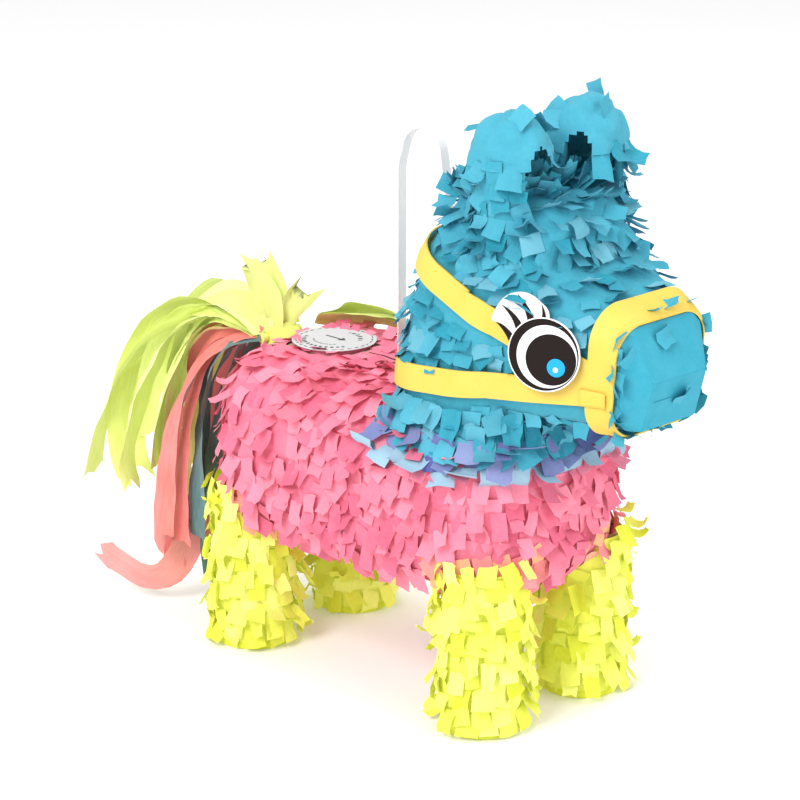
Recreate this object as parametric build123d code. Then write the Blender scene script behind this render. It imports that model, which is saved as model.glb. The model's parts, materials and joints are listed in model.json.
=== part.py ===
"""A donkey pinata: a hollow cardboard animal, hung by a plastic loop, dressed in rows of tissue fringe.

Millimetres. +X runs towards the nose, +Y to the animal's left and +Z up. The origin is on the ground,
under the middle of the whole object. Body pieces are placed about leg_mid_x, the point midway
between the four legs. Every sub-part is written to parts/ as one STEP file.
"""
from math import cos, radians, sin, tan
import os

from build123d import *

# ---- Driving dimensions -----------------------------------------------------------------------
leg_mid_x = 23.5            # from the origin to the point midway between the legs

wall = 3.0                  # corrugated card
tube_wall = 2.0             # rolled paper of a leg
ear_wall = 1.5              # thin card of an ear
fringe = 5.0                # depth of the tissue rows over the card
tissue = 0.8                # smooth tissue wrap, several layers pasted together
paper = 1.0                 # paper strap, with its paste
gap = 0.4                   # air between pieces that move past each other
overcut = 1.0               # a cutting tool passes this far beyond what it cuts
far = 800.0                 # side of the blocks that cut the whole model

# Torso, a rounded box
torso_length = 242.0
torso_width = 134.0
torso_bottom = 82.0
torso_top = 187.0
torso_corner = 45.0         # upright corners
torso_top_round = 38.0
torso_bottom_round = 25.0

# Legs
leg_spacing_x = 195.0
leg_spacing_y = 86.0
leg_radius = 22.0
leg_top = 100.0
foot_thickness = 5.0
foot_round = 2.0
leg_fringe_lift = 4.0       # the fringe stops this far above the ground

# Neck and head, a tower of rounded sections: height, rear, front, half width, corner
tower_stations = [
    (150.0, 31.0, 119.0, 62.0, 36.0),
    (205.0, 30.0, 122.0, 59.0, 36.0),
    (240.0, 35.0, 130.0, 57.0, 34.0),
    (275.0, 44.0, 137.0, 51.0, 31.0),
    (299.0, 57.0, 136.0, 44.0, 27.0),
    (309.0, 64.0, 128.0, 37.0, 21.0),
    (314.0, 74.0, 116.0, 27.0, 15.0),
]
neck_seam = 214.0           # the head shell sits on the neck shell here

# Muzzle, a run of rounded sections: distance forward, bottom, top, half width, corner
muzzle_stations = [
    (100.0, 192.0, 292.0, 55.0, 24.0),
    (138.0, 194.0, 279.0, 47.0, 20.0),
    (188.0, 198.0, 254.0, 32.5, 14.0),
]
nose_x = 199.0              # middle of the nose's front face
nose_z = 211.5
nose_height = 26.5
nose_half_width = 20.0
nose_corner = 7.0
nose_lean = 15.0            # degrees that the front face looks down

# Ears, hoods that open forwards and inwards
ear_x = 105.0
ear_y = 31.0
ear_base = 285.0
ear_shoulder = 333.0
ear_tip = 361.0
ear_radius = 20.0
ear_fringe = 4.0
ear_opening = 120.0         # degrees of the hood left open
ear_turn = 30.0             # degrees that the opening looks inwards

# Halter straps
strap_width = 15.5
strap_lift = fringe + 0.4   # the straps press the fringe flat
noseband_low = (180.0, 198.0)
noseband_high = (183.0, 262.0)
poll_front = (166.0, 232.0)
poll_rear = (38.0, 281.0)
throat_front = (184.0, 220.0)
throat_rear = (30.0, 205.5)
strap_front_end = 174.5     # the two cheek straps stop on the noseband

# Eyes
eye_centre = (151.0, 52.4, 238.0)
eye_turn = 14.7             # degrees from straight sideways towards the nose
eye_pitch = 7.0             # degrees that it looks up
left_eye_shift = (-8.0, -5.0)   # the left eye sits a little further back and lower
eye_width = 44.4
eye_height = 41.2
eye_card = 0.8
# The lashes' backing, forward and up from the eye's centre
lash_fan = [(-22.5, 9.0), (-33.5, 15.0), (-31.0, 22.5), (-26.0, 28.7), (-19.8, 32.0), (-12.2, 32.4),
            (-4.4, 28.9), (1.5, 20.0)]

# Fill hatch in the back, a round flap cut from the panel and covered by a paper disc
hatch_x = -69.0
hatch_disc_radius = 26.0
hatch_disc = 0.4
hatch_flap_radius = hatch_disc_radius - 3.0
hatch_hole_radius = hatch_flap_radius + 0.9
hatch_well_radius = hatch_disc_radius + 2.6     # bare ring in the fringe around the disc
hatch_tissue = 2.4
hatch_disc_lift = 0.2       # air between the tissue's nominal top and the disc
tape_width = 24.0
tape_thickness = 0.4
tape_reach = 14.0           # how far the hinge tape runs beyond the ring
tape_gap = 0.2

# Hanging loop, a flat plastic strap
loop_width = 6.5
loop_thickness = 1.2
loop_pivot_above = 1.0      # the loop bends just above the back panel
loop_rear_x = -11.0
loop_front_x = 18.0
loop_arch = [               # side view from the rear leg over the top: x, z, bend radius
    (-11.0, 309.0, 20.0),
    (-5.0, 329.0, 15.0),
    (9.0, 337.0, 12.0),
    (22.0, 329.0, 15.0),
    (28.0, 296.0, 30.0),
]
loop_slot_half = 7.0        # the slots let it swing sideways
loop_slot_play = 0.6
loop_well_half = 17.5       # bare patch in the fringe on each side
loop_well_play = 1.5
loop_end_play = 0.1         # around the strap where it is glued into the stick
loop_bead_radius = 3.6
loop_bead_height = 3.0
stick_length = 66.0
stick_width = 12.0
stick_thickness = 3.0
stick_end_flat = 0.1        # half of the flat left on each rounded end
doubler_length = 84.0
doubler_width = 46.0

# Neck ruffle: a violet band under a blue skirt, each a pair (height, growth) low and high
collar_low, collar_low_growth = 147.0, 12.0
collar_high, collar_high_growth = 186.0, 6.0
ruffle_low, ruffle_low_growth = 155.0, 15.5
ruffle_high, ruffle_high_growth = 190.0, 8.0

# Tail: outlines of the streamer bunches, side view from the pivot, and how far they spread sideways
tail_pivot = (-torso_length / 2 + 3.5, torso_top - 3.0)
tail_knot_radius = 3.0
tail_knot_half = 16.0
anchor_half = 12.0
anchor_radius = 9.0         # the anchor stays this near the pivot, so the tail swings past it
anchor_length = 14.0
anchor_depth = 9.0
anchor_shift = 2.0          # from the pivot towards the rump
tail_yellow = [(-3.5, 3), (-6.5, 38), (-24.5, 36), (-54.5, 8), (-84.5, -44), (-112.5, -92),
               (-132.5, -132), (-110.5, -154), (-72.5, -154), (-42.5, -74), (-10.5, -10)]
tail_coral = [(-6.5, -8), (-28.5, -26), (-47.5, -84), (-68.5, -134), (-120.5, -170), (-116.5, -180),
              (-34.5, -180), (-26.5, -124), (-20.5, -64), (-11.5, -28)]
tail_teal = [(-10.5, -34), (-18.5, -64), (-24.5, -124), (-32.5, -178), (-14.5, -178), (-12.5, -124)]
tail_spread = (-40.0, 18.0)
streamer_lift = 0.4
streamer_depth = 4.0
streamer_x = (-116.0, -34.0)
streamer_y = (31.0, 66.0)
streamer_low = 168.0
leg_clearance = 1.0         # between the tail and the leg fringe


# ---- Forms ------------------------------------------------------------------------------------
def torso_form(growth=0.0):
    """The torso's outer shape, grown by some depth on every side."""
    length = torso_length + 2 * growth
    width = torso_width + 2 * growth
    height = torso_top - torso_bottom + 2 * growth
    body = Pos(0, 0, (torso_top + torso_bottom) / 2) * Box(length, width, height)
    body = fillet(body.edges().filter_by(Axis.Z), torso_corner + growth)
    body = fillet(body.faces().sort_by(Axis.Z)[-1].edges(), torso_top_round + growth)
    return fillet(body.faces().sort_by(Axis.Z)[0].edges(), torso_bottom_round + growth)


def tower_section(station, growth, height=None):
    """One level section of the neck and head."""
    z, rear, front, half, corner = station
    plane = Plane.XY.offset(z if height is None else height)
    return plane * Pos((rear + front) / 2, 0) * RectangleRounded(
        front - rear + 2 * growth, 2 * (half + growth), corner + growth)


def tower_at(z):
    """The tower's station at any height, the lowest one below the first."""
    z = max(z, tower_stations[0][0])
    low, high = next(pair for pair in zip(tower_stations, tower_stations[1:]) if z <= pair[1][0])
    share = (z - low[0]) / (high[0] - low[0])
    return tuple(a + share * (b - a) for a, b in zip(low, high))


def tower_form(growth=0.0):
    """Neck and head in one, grown by some depth."""
    sections = [tower_section(station, growth) for station in tower_stations[:-1]]
    top = tower_stations[-1]
    sections.append(tower_section(top, growth, top[0] + growth))
    return loft(sections, ruled=True)


def muzzle_section(station, growth):
    """One upright section of the muzzle."""
    x, low, high, half, corner = station
    plane = Plane(origin=(x, 0, (low + high) / 2), x_dir=(0, 1, 0), z_dir=(1, 0, 0))
    return plane * RectangleRounded(2 * (half + growth), high - low + 2 * growth, corner + growth)


def nose_section(growth):
    """The leaning front face of the nose."""
    lean = radians(nose_lean)
    normal = (cos(lean), 0, -sin(lean))
    origin = (nose_x + growth * normal[0], 0, nose_z + growth * normal[2])
    plane = Plane(origin=origin, x_dir=(0, 1, 0), z_dir=normal)
    return plane * RectangleRounded(
        2 * (nose_half_width + growth), nose_height + 2 * growth, nose_corner + growth)


def muzzle_form(growth=0.0):
    """The muzzle from inside the head to its last upright section."""
    return loft([muzzle_section(station, growth) for station in muzzle_stations], ruled=True)


def nose_form(growth=0.0):
    """The faceted end of the muzzle."""
    return loft([muzzle_section(muzzle_stations[-1], growth), nose_section(growth)], ruled=True)


def head_form(growth=0.0):
    """Neck, head, muzzle and nose together."""
    return tower_form(growth) + muzzle_form(growth) + nose_form(growth)


def slab(low, high, thickness=strap_width):
    """A wide slab seen edge-on from the side, through two points (x, z)."""
    run = Vector(high[0] - low[0], 0, high[1] - low[1])
    middle = ((low[0] + high[0]) / 2, 0, (low[1] + high[1]) / 2)
    plane = Plane(origin=middle, x_dir=run.normalized(), z_dir=(0, 1, 0))
    return plane * Box(far / 2, thickness, far / 2)


def half_space(x=None, z=None, below=True):
    """A big block on one side of a plane across X or across Z."""
    shift = -far / 2 if below else far / 2
    if x is not None:
        return Pos(x + shift, 0, 0) * Box(far, far, far)
    return Pos(0, 0, z + shift) * Box(far, far, far)


def prism(points, low_y, high_y):
    """A side-view outline carried from low_y to high_y."""
    outline = Plane.XZ.offset(-high_y) * make_face(Polyline(*points, close=True))
    return extrude(outline, high_y - low_y)


def upright(x, y, radius, low, high):
    """A round post between two heights."""
    return Pos(x, y, (low + high) / 2) * Cylinder(radius, high - low)


# ---- Sub-parts --------------------------------------------------------------------------------
nodes = {}
torso = torso_form()
tower = tower_form()
head = head_form()
legs = {
    "front_right": (leg_spacing_x / 2, -leg_spacing_y / 2),
    "front_left": (leg_spacing_x / 2, leg_spacing_y / 2),
    "hind_right": (-leg_spacing_x / 2, -leg_spacing_y / 2),
    "hind_left": (-leg_spacing_x / 2, leg_spacing_y / 2),
}
disc_bottom = torso_top + hatch_tissue + hatch_disc_lift
loop_pivot_z = torso_top + loop_pivot_above
loop_legs = (loop_rear_x, loop_front_x)


def torso_panels():
    """Six card panels that make the torso, with the hatch hole and the loop's slots in the back."""
    shell = torso - torso_form(-wall)
    back_z = torso_top - torso_top_round
    belly_z = torso_bottom + torso_bottom_round
    end_x = torso_length / 2 - torso_corner
    hole = upright(hatch_x, 0, hatch_hole_radius, torso_top - 2 * wall, torso_top + wall)
    back = shell & half_space(z=back_z, below=False)
    back -= hole
    for x in loop_legs:
        back -= Pos(x, 0, torso_top) * Box(
            loop_thickness + 2 * loop_slot_play, 2 * loop_slot_half, 4 * wall)
    nodes["back_panel"] = back
    nodes["belly_panel"] = shell & half_space(z=belly_z)
    band = shell & half_space(z=back_z) & half_space(z=belly_z, below=False)
    nodes["chest_panel"] = band & half_space(x=end_x, below=False)
    nodes["rump_panel"] = band & half_space(x=-end_x)
    sides = band & half_space(x=end_x) & half_space(x=-end_x, below=False)
    right, left = sides.solids().sort_by(Axis.Y)
    nodes["right_flank_panel"] = right
    nodes["left_flank_panel"] = left


def head_shells():
    """Neck, head and muzzle shells and the nose cap."""
    hollow = tower - tower_form(-wall)
    nodes["neck_shell"] = hollow & half_space(z=neck_seam)
    nodes["neck_shell"] -= torso
    nodes["head_shell"] = hollow & half_space(z=neck_seam, below=False)
    muzzle_end = muzzle_stations[-1][0]
    nodes["muzzle_shell"] = muzzle_form() - muzzle_form(-wall) - tower
    nodes["nose_cap"] = nose_form() - nose_form(-wall) - half_space(x=muzzle_end)


def leg_pieces():
    """A paper tube with a foot disc for each leg, its top cut to the torso."""
    for name, (x, y) in legs.items():
        tube = upright(x, y, leg_radius, foot_thickness, leg_top)
        tube -= upright(x, y, leg_radius - tube_wall, foot_thickness, leg_top)
        nodes[f"{name}_leg_tube"] = tube - torso
        foot = upright(x, y, leg_radius + foot_round, 0, foot_thickness)
        nodes[f"{name}_foot_disc"] = fillet(foot.edges().sort_by(Axis.Z)[0], foot_round)


def ear_solid(growth):
    """One ear as a solid post with an elliptical dome, on its own axis."""
    radius = ear_radius + growth
    tip = ear_tip + growth
    rise = tip - ear_shoulder
    half_way = (radius * cos(radians(45)), ear_shoulder + rise * sin(radians(45)))
    dome = Spline((radius, ear_shoulder), half_way, (0, tip), tangents=[(0, 1), (-1, 0)])
    outline = make_face([
        Line((0, ear_base), (radius, ear_base)),
        Line((radius, ear_base), (radius, ear_shoulder)),
        dome,
        Line((0, tip), (0, ear_base)),
    ])
    return revolve(Plane.XZ * outline, Axis.Z)


def ear_hood(side, growth, thickness):
    """A hood of some thickness around one ear, its opening turned inwards."""
    outer = ear_solid(growth)
    inner = ear_solid(growth - thickness) - half_space(z=ear_base)
    half_angle = radians(ear_opening / 2)
    reach = 3 * ear_radius
    wedge = make_face(Polyline((0, 0), (reach, -reach * tan(half_angle)), (reach, reach * tan(half_angle)),
                               close=True))
    mouth = Pos(0, 0, ear_base - overcut) * extrude(wedge, ear_tip)
    hood = outer - inner - Rot(0, 0, -side * ear_turn) * mouth
    return Pos(ear_x, side * ear_y, 0) * hood


def ear_pieces():
    """Both ears, and the fringe over their backs."""
    for name, side in (("right", -1), ("left", 1)):
        nodes[f"{name}_ear_shell"] = ear_hood(side, 0, ear_wall) - head
        nodes[f"{name}_ear_fringe"] = ear_hood(side, ear_fringe, ear_fringe) - head_form(fringe)


def halter():
    """Three paper straps around the muzzle and the head, pressed onto the fringe."""
    band = head_form(strap_lift + paper) - head_form(strap_lift)
    band -= nodes["right_eye_sticker"] + nodes["left_eye_sticker"]
    cheek = band & half_space(x=strap_front_end)
    nodes["noseband_strap"] = band & slab(noseband_low, noseband_high)
    nodes["poll_strap"] = (cheek & slab(poll_rear, poll_front)) - nodes["noseband_strap"]
    nodes["throat_strap"] = (cheek & slab(throat_rear, throat_front)) - nodes["noseband_strap"]
    nodes["throat_strap"] -= nodes["poll_strap"]


def eye_sticker(side):
    """An egg-shaped card eye with a fan of lashes behind and above it."""
    turn, pitch = radians(eye_turn), radians(eye_pitch)
    shift_x, shift_z = left_eye_shift if side > 0 else (0, 0)
    normal = (sin(turn) * cos(pitch), side * cos(turn) * cos(pitch), sin(pitch))
    forward = (cos(turn), -side * sin(turn), 0)
    x, y, z = eye_centre
    y -= shift_x * tan(turn)
    plane = Plane(origin=(x + shift_x, side * y, z + shift_z), x_dir=forward, z_dir=normal)
    up = 1 if side < 0 else -1
    egg = Ellipse(eye_width / 2, eye_height / 2)
    tips = [(ahead, rise * up) for ahead, rise in lash_fan]
    fan = make_face(Polyline((0, 0), *tips, close=True))
    return extrude(plane * (egg + fan), eye_card)


def hatch_pieces():
    """The round flap in the back, its tissue, its paper disc and its hinge tape."""
    nodes["fill_flap"] = upright(hatch_x, 0, hatch_flap_radius, torso_top - wall, torso_top)
    nodes["flap_tissue"] = upright(hatch_x, 0, hatch_flap_radius, torso_top, disc_bottom)
    nodes["fill_disc"] = upright(hatch_x, 0, hatch_disc_radius, disc_bottom, disc_bottom + hatch_disc)
    tape_start = hatch_x + hatch_hole_radius + tape_gap
    tape_length = hatch_x + hatch_well_radius + tape_reach - tape_start
    tape_middle = Pos(tape_start + tape_length / 2, 0, torso_top + tape_thickness / 2)
    nodes["flap_hinge_tape"] = tape_middle * Box(tape_length, tape_width, tape_thickness)


def loop_pieces():
    """The hanging loop, and the stick, doubler and strap ends that hold it under the back."""
    shoulder_x, shoulder_z, _ = loop_arch[-1]
    lean = (shoulder_x - loop_front_x) / (shoulder_z - loop_pivot_z)
    foot_z = loop_pivot_z - loop_width
    foot_x = loop_front_x - lean * loop_width
    arch = FilletPolyline(
        (loop_rear_x, foot_z), *[(x, z) for x, z, _ in loop_arch], (foot_x, foot_z),
        radius=[bend for _, _, bend in loop_arch])
    inside = make_face(arch + Line((foot_x, foot_z), (loop_rear_x, foot_z)))
    strap = offset(inside, loop_thickness / 2) - offset(inside, -loop_thickness / 2)
    loop = extrude(Plane.XZ.offset(-loop_width / 2) * strap, loop_width)
    loop &= half_space(z=loop_pivot_z, below=False)
    for x in loop_legs:
        loop += Pos(x, 0, loop_pivot_z) * Rot(0, 90, 0) * Cylinder(loop_width / 2, loop_thickness)
    nodes["hanging_loop"] = loop
    card_low = torso_top - wall
    doubler = Pos(sum(loop_legs) / 2, 0, card_low - wall / 2) * Box(doubler_length, doubler_width, wall)
    stick_top = card_low - wall
    stick = Pos(sum(loop_legs) / 2, 0, stick_top - stick_thickness / 2) * Box(
        stick_length, stick_width, stick_thickness)
    stick = fillet(stick.edges().filter_by(Axis.Z), stick_width / 2 - stick_end_flat)
    strap_top = loop_pivot_z - loop_width / 2 - gap
    bead_top = stick_top - stick_thickness
    for name, x in (("rear", loop_rear_x), ("front", loop_front_x)):
        slot = Pos(x, 0, card_low) * Box(
            loop_thickness + 2 * loop_end_play, loop_width + 2 * loop_end_play, far)
        doubler -= slot
        stick -= slot
        strip = Pos(x, 0, (strap_top + bead_top) / 2) * Box(
            loop_thickness, loop_width, strap_top - bead_top)
        bead = upright(x, 0, loop_bead_radius, bead_top - loop_bead_height, bead_top)
        nodes[f"loop_{name}_end"] = strip + bead
    nodes["hanger_doubler"] = doubler
    nodes["hanger_stick"] = stick


def leg_posts(radius):
    """Four posts where the legs go, to cut skins with."""
    return [upright(x, y, radius, -overcut, leg_top + overcut) for x, y in legs.values()]


def body_fringe():
    """Pink tissue rows over the torso, in three bands, cut clear of the legs, neck, hatch and loop."""
    skin = torso_form(fringe) - torso - tower
    for post in leg_posts(leg_radius):
        skin -= post
    skin -= upright(hatch_x, 0, hatch_hole_radius, torso_top - wall, torso_top + 2 * fringe)
    skin -= upright(hatch_x, 0, hatch_well_radius, disc_bottom - gap, torso_top + 2 * fringe)
    skin -= nodes["flap_hinge_tape"]
    for x in loop_legs:
        skin -= Pos(x, 0, torso_top + fringe) * Box(
            loop_thickness + 2 * loop_well_play, 2 * loop_well_half, 4 * fringe)
    top_z = torso_top - torso_top_round
    low_z = torso_bottom + torso_bottom_round
    nodes["upper_body_fringe"] = skin & half_space(z=top_z, below=False)
    nodes["middle_body_fringe"] = skin & half_space(z=top_z) & half_space(z=low_z, below=False)
    nodes["lower_body_fringe"] = skin & half_space(z=low_z)


def skirt(low, low_growth, high, high_growth):
    """A flared block around the neck's foot."""
    foot = tower_section(tower_at(low), low_growth, low)
    return loft([foot, tower_section(tower_at(high), high_growth, high)], ruled=True)


def head_fringe():
    """Blue tissue over the neck, head and muzzle, and the ruffle and violet band at the neck's foot."""
    body_skin = torso_form(fringe)
    blue = head_form(fringe)
    collar = skirt(collar_low, collar_low_growth, collar_high, collar_high_growth)
    ruffle = skirt(ruffle_low, ruffle_low_growth, ruffle_high, ruffle_high_growth)
    nodes["collar_band"] = largest(collar - body_skin - tower_form(fringe) - tower)
    nodes["neck_ruffle"] = largest(ruffle - collar - body_skin - tower_form(fringe))
    muzzle_end = muzzle_stations[-1][0]
    tower_skin = (tower_form(fringe) & half_space(x=muzzle_end)) - head - body_skin
    nodes["neck_fringe"] = largest(tower_skin & half_space(z=neck_seam))
    nodes["head_fringe"] = largest(tower_skin & half_space(z=neck_seam, below=False))
    nodes["muzzle_fringe"] = largest(muzzle_form(fringe) - head - tower_form(fringe) - ruffle)
    nose_skin = nose_form(tissue) - nose_form() - half_space(x=muzzle_end)
    nodes["nose_wrap"] = largest(nose_skin)
    for name in ("right", "left"):
        nodes["head_fringe"] -= nodes[f"{name}_ear_shell"]
        nodes["muzzle_fringe"] -= nodes[f"{name}_ear_shell"]
        nodes["head_fringe"] -= nodes[f"{name}_eye_sticker"]
        nodes["muzzle_fringe"] -= nodes[f"{name}_eye_sticker"]
        nodes[f"{name}_ear_fringe"] -= nodes["head_fringe"]


def largest(shape):
    """The biggest solid of a cut, without its crumbs."""
    return shape.solids().sort_by(SortBy.VOLUME)[-1]


def leg_fringe():
    """Yellow tissue rows around each leg."""
    body_skin = torso_form(fringe)
    for name, (x, y) in legs.items():
        sleeve = upright(x, y, leg_radius + fringe, leg_fringe_lift, leg_top)
        sleeve -= upright(x, y, leg_radius, leg_fringe_lift, leg_top)
        sleeve -= nodes[f"{name}_foot_disc"]
        nodes[f"{name}_leg_fringe"] = sleeve - body_skin


def tail_pieces():
    """The tail's anchor on the rump, its knot, its streamer bunches, and the streamers along the back."""
    x, z = tail_pivot
    across = Pos(x, 0, z) * Rot(90, 0, 0)
    knot = across * Cylinder(tail_knot_radius, 2 * tail_knot_half)
    nodes["tail_knot"] = knot
    clear = torso_form(fringe) + across * Cylinder(tail_knot_radius + gap, 2 * tail_knot_half)
    block = Pos(x + anchor_shift, 0, z - anchor_shift) * Rot(0, 45, 0) * Box(
        anchor_length, 2 * anchor_half, anchor_depth)
    block &= across * Cylinder(anchor_radius, 2 * anchor_half)
    nodes["tail_anchor"] = largest(block - clear)
    swing = across * Cylinder(anchor_radius + gap, 2 * (anchor_half + gap))
    taken = torso_form(fringe + streamer_lift) + swing + knot
    for post in leg_posts(leg_radius + fringe + leg_clearance):
        taken += post
    for name, outline in (("teal", tail_teal), ("coral", tail_coral), ("yellow", tail_yellow)):
        bunch = largest(Pos(x, 0, z) * prism(outline, *tail_spread) - taken)
        nodes[f"tail_{name}_streamers"] = bunch
        taken += bunch
    crest = torso_form(fringe + streamer_lift + streamer_depth) - torso_form(fringe)
    window = Pos(sum(streamer_x) / 2, sum(streamer_y) / 2, streamer_low + far / 2) * Box(
        streamer_x[1] - streamer_x[0], streamer_y[1] - streamer_y[0], far)
    nodes["back_streamers"] = crest & window


torso_panels()
head_shells()
leg_pieces()
ear_pieces()
nodes["right_eye_sticker"] = eye_sticker(-1)
nodes["left_eye_sticker"] = eye_sticker(1)
halter()
hatch_pieces()
loop_pieces()
body_fringe()
head_fringe()
leg_fringe()
tail_pieces()

# ---- Output -----------------------------------------------------------------------------------
os.makedirs("parts", exist_ok=True)
for name, shape in nodes.items():
    export_step(Pos(leg_mid_x, 0, 0) * shape, f"parts/{name}.step")
print(len(nodes), "nodes")
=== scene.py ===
"""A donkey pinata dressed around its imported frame: tissue fringe, halter, printed eyes and streamers."""

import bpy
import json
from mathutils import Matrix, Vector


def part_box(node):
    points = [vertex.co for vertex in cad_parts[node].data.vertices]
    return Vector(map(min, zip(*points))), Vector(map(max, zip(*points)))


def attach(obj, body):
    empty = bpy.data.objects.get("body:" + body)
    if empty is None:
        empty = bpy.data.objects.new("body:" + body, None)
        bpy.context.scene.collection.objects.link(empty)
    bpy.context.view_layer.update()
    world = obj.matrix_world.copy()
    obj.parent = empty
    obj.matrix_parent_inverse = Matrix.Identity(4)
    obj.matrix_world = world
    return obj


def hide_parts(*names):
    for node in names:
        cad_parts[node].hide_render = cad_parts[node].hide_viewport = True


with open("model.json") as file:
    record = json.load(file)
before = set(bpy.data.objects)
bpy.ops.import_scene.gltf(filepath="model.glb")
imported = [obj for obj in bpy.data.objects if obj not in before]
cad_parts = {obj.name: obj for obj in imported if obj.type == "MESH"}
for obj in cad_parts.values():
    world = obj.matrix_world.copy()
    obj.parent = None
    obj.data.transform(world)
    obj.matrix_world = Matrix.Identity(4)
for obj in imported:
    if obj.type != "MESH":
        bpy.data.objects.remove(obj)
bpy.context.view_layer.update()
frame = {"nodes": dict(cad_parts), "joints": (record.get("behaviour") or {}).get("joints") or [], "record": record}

import json
from math import cos, pi, radians, sin, tau

import bmesh
import bpy
import numpy as np
from bpy.props import FloatProperty, FloatVectorProperty, IntProperty, PointerProperty
from bpy.types import Operator, Panel, PropertyGroup
from mathutils import Matrix, Vector, noise
from mathutils.bvhtree import BVHTree

bl_info = {
    "name": "Donkey Pinata",
    "version": (1, 0, 0),
    "blender": (4, 5, 0),
    "location": "View3D > Sidebar > Pinata",
    "description": "Dresses a card donkey in tissue fringe, halter, eyes and streamers",
    "category": "Add Mesh",
}

MM = 0.001
FINISHED = "_finish"        # ends the name of every material made here
PASTED = 0.0016             # a tab's root above the card
OPENING = radians(52)       # half the ear's opening, seen from its axis
HOOD_EDGE = radians(56)     # where the hood's lining starts, from the opening's middle
HOOD_DEPTH = 0.076          # the lining's foot below the ear's tip
HOOD_TOP = 0.022            # and its top
CAP_DEPTH = 0.027           # the cap's hem below the ear's tip
NOSE_LEAN = radians(15)     # how far the nose's front looks down
LEGS = ("front_right", "front_left", "hind_right", "hind_left")
TORSO_CARD = ("back_panel", "belly_panel", "chest_panel", "rump_panel", "left_flank_panel",
              "right_flank_panel", "fill_flap")
HEAD_CARD = ("neck_shell", "head_shell", "muzzle_shell", "nose_cap")
UP = Vector((0, 0, 1))


# ---- Where things are, read from the frame -----------------------------------------------------
BOXES = {name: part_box(name) for name in frame["nodes"]}


def box(node):
    """A node's lowest and highest corners."""
    low, high = BOXES[node]
    return low.copy(), high.copy()


def centre(node):
    """The middle of a node's box."""
    low, high = box(node)
    return (low + high) / 2


def radius(node):
    """Half the breadth of a round node."""
    low, high = box(node)
    return (high.y - low.y) / 2


LEG_AXES = {name: centre(f"{name}_foot_disc") for name in LEGS}
LEG_MID = sum((LEG_AXES[name] for name in LEGS), Vector()) / len(LEGS)
LEG_RADIUS = radius("front_right_leg_tube")
LEG_TOP = box("front_right_leg_tube")[1].z
HATCH = centre("fill_disc")
HATCH_RADIUS = radius("fill_disc")
KNOT = Vector(next(joint["pos_m"] for joint in frame["joints"] if joint["name"] == "tail_swing"))


def card_tree(names):
    """One search tree over several card nodes."""
    points, faces = [], []
    for name in names:
        mesh = frame["nodes"][name].data
        start = len(points)
        points += [v.co.copy() for v in mesh.vertices]
        faces += [[start + i for i in face.vertices] for face in mesh.polygons]
    return BVHTree.FromPolygons(points, faces)


TORSO = card_tree(TORSO_CARD)
HEAD = card_tree(HEAD_CARD)
ALL_CARD = card_tree(TORSO_CARD + HEAD_CARD)


# ---- Sizes and colours a user would change -----------------------------------------------------
def length_property(label, text, default, low=0.0):
    """A length in metres, shown with its unit."""
    return FloatProperty(name=label, description=text, default=default, min=low, unit="LENGTH",
                         precision=4)


def count_property(label, text, default):
    """A whole number, at least one."""
    return IntProperty(name=label, description=text, default=default, min=1)


def colour_property(label, text, default):
    """A linear colour."""
    return FloatVectorProperty(name=label, description=text, default=default, subtype="COLOR", size=3,
                               min=0.0, max=1.0)


class PINATA_PG_fringe(PropertyGroup):
    """Rows of tissue tabs."""
    tab_width: length_property("Tab width", "Width of one cut tab", 0.0108, 0.002)
    tab_length: length_property("Tab length", "Length of one cut tab", 0.0148, 0.002)
    row_step: length_property("Row step", "Distance from one row to the next", 0.0082, 0.002)
    seed: IntProperty(name="Seed", description="Starts the random draws", default=7)


class PINATA_PG_colours(PropertyGroup):
    """Paper colours."""
    pink: colour_property("Pink", "Body tissue", (0.92, 0.150, 0.270))
    blue: colour_property("Blue", "Head and neck tissue", (0.013, 0.36, 0.50))
    yellow: colour_property("Yellow", "Leg tissue", (0.90, 0.95, 0.035))
    violet: colour_property("Violet", "Band under the neck ruffle", (0.10, 0.12, 0.42))
    halter: colour_property("Halter", "Paper straps", (0.80, 0.55, 0.045))
    streamer: colour_property("Streamer", "Pale yellow streamers", (0.82, 0.92, 0.17))
    coral: colour_property("Coral", "Red streamers", (0.92, 0.17, 0.14))
    teal: colour_property("Teal", "Dark green-blue streamers", (0.02, 0.17, 0.18))
    card: colour_property("Card", "Bare corrugated card", (0.46, 0.31, 0.17))


class PINATA_PG_tail(PropertyGroup):
    """Streamers."""
    ribbon_width: length_property("Ribbon width", "Width of one streamer", 0.022, 0.004)
    yellow_count: count_property("Yellow", "Yellow streamers in the tail", 15)
    coral_count: count_property("Coral", "Coral streamers in the tail", 6)
    teal_count: count_property("Teal", "Teal streamers in the tail", 3)


class PINATA_PG_stage(PropertyGroup):
    """Camera and floor."""
    azimuth: FloatProperty(name="Azimuth", description="Camera direction round the object",
                           default=radians(44.9), subtype="ANGLE")
    elevation: FloatProperty(name="Elevation", description="Camera height angle", default=radians(17.47),
                             subtype="ANGLE")
    distance: length_property("Distance", "Camera distance", 1.85, 0.5)
    lens: FloatProperty(name="Lens", description="Focal length in millimetres", default=139.0, min=10.0)
    aim_height: length_property("Aim height", "Height of the point aimed at", 0.150)
    aim_right: FloatProperty(name="Aim right", description="Sideways offset of the aim", default=-0.0088)
    aim_up: FloatProperty(name="Aim up", description="Upward offset of the aim", default=0.0160)


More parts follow.
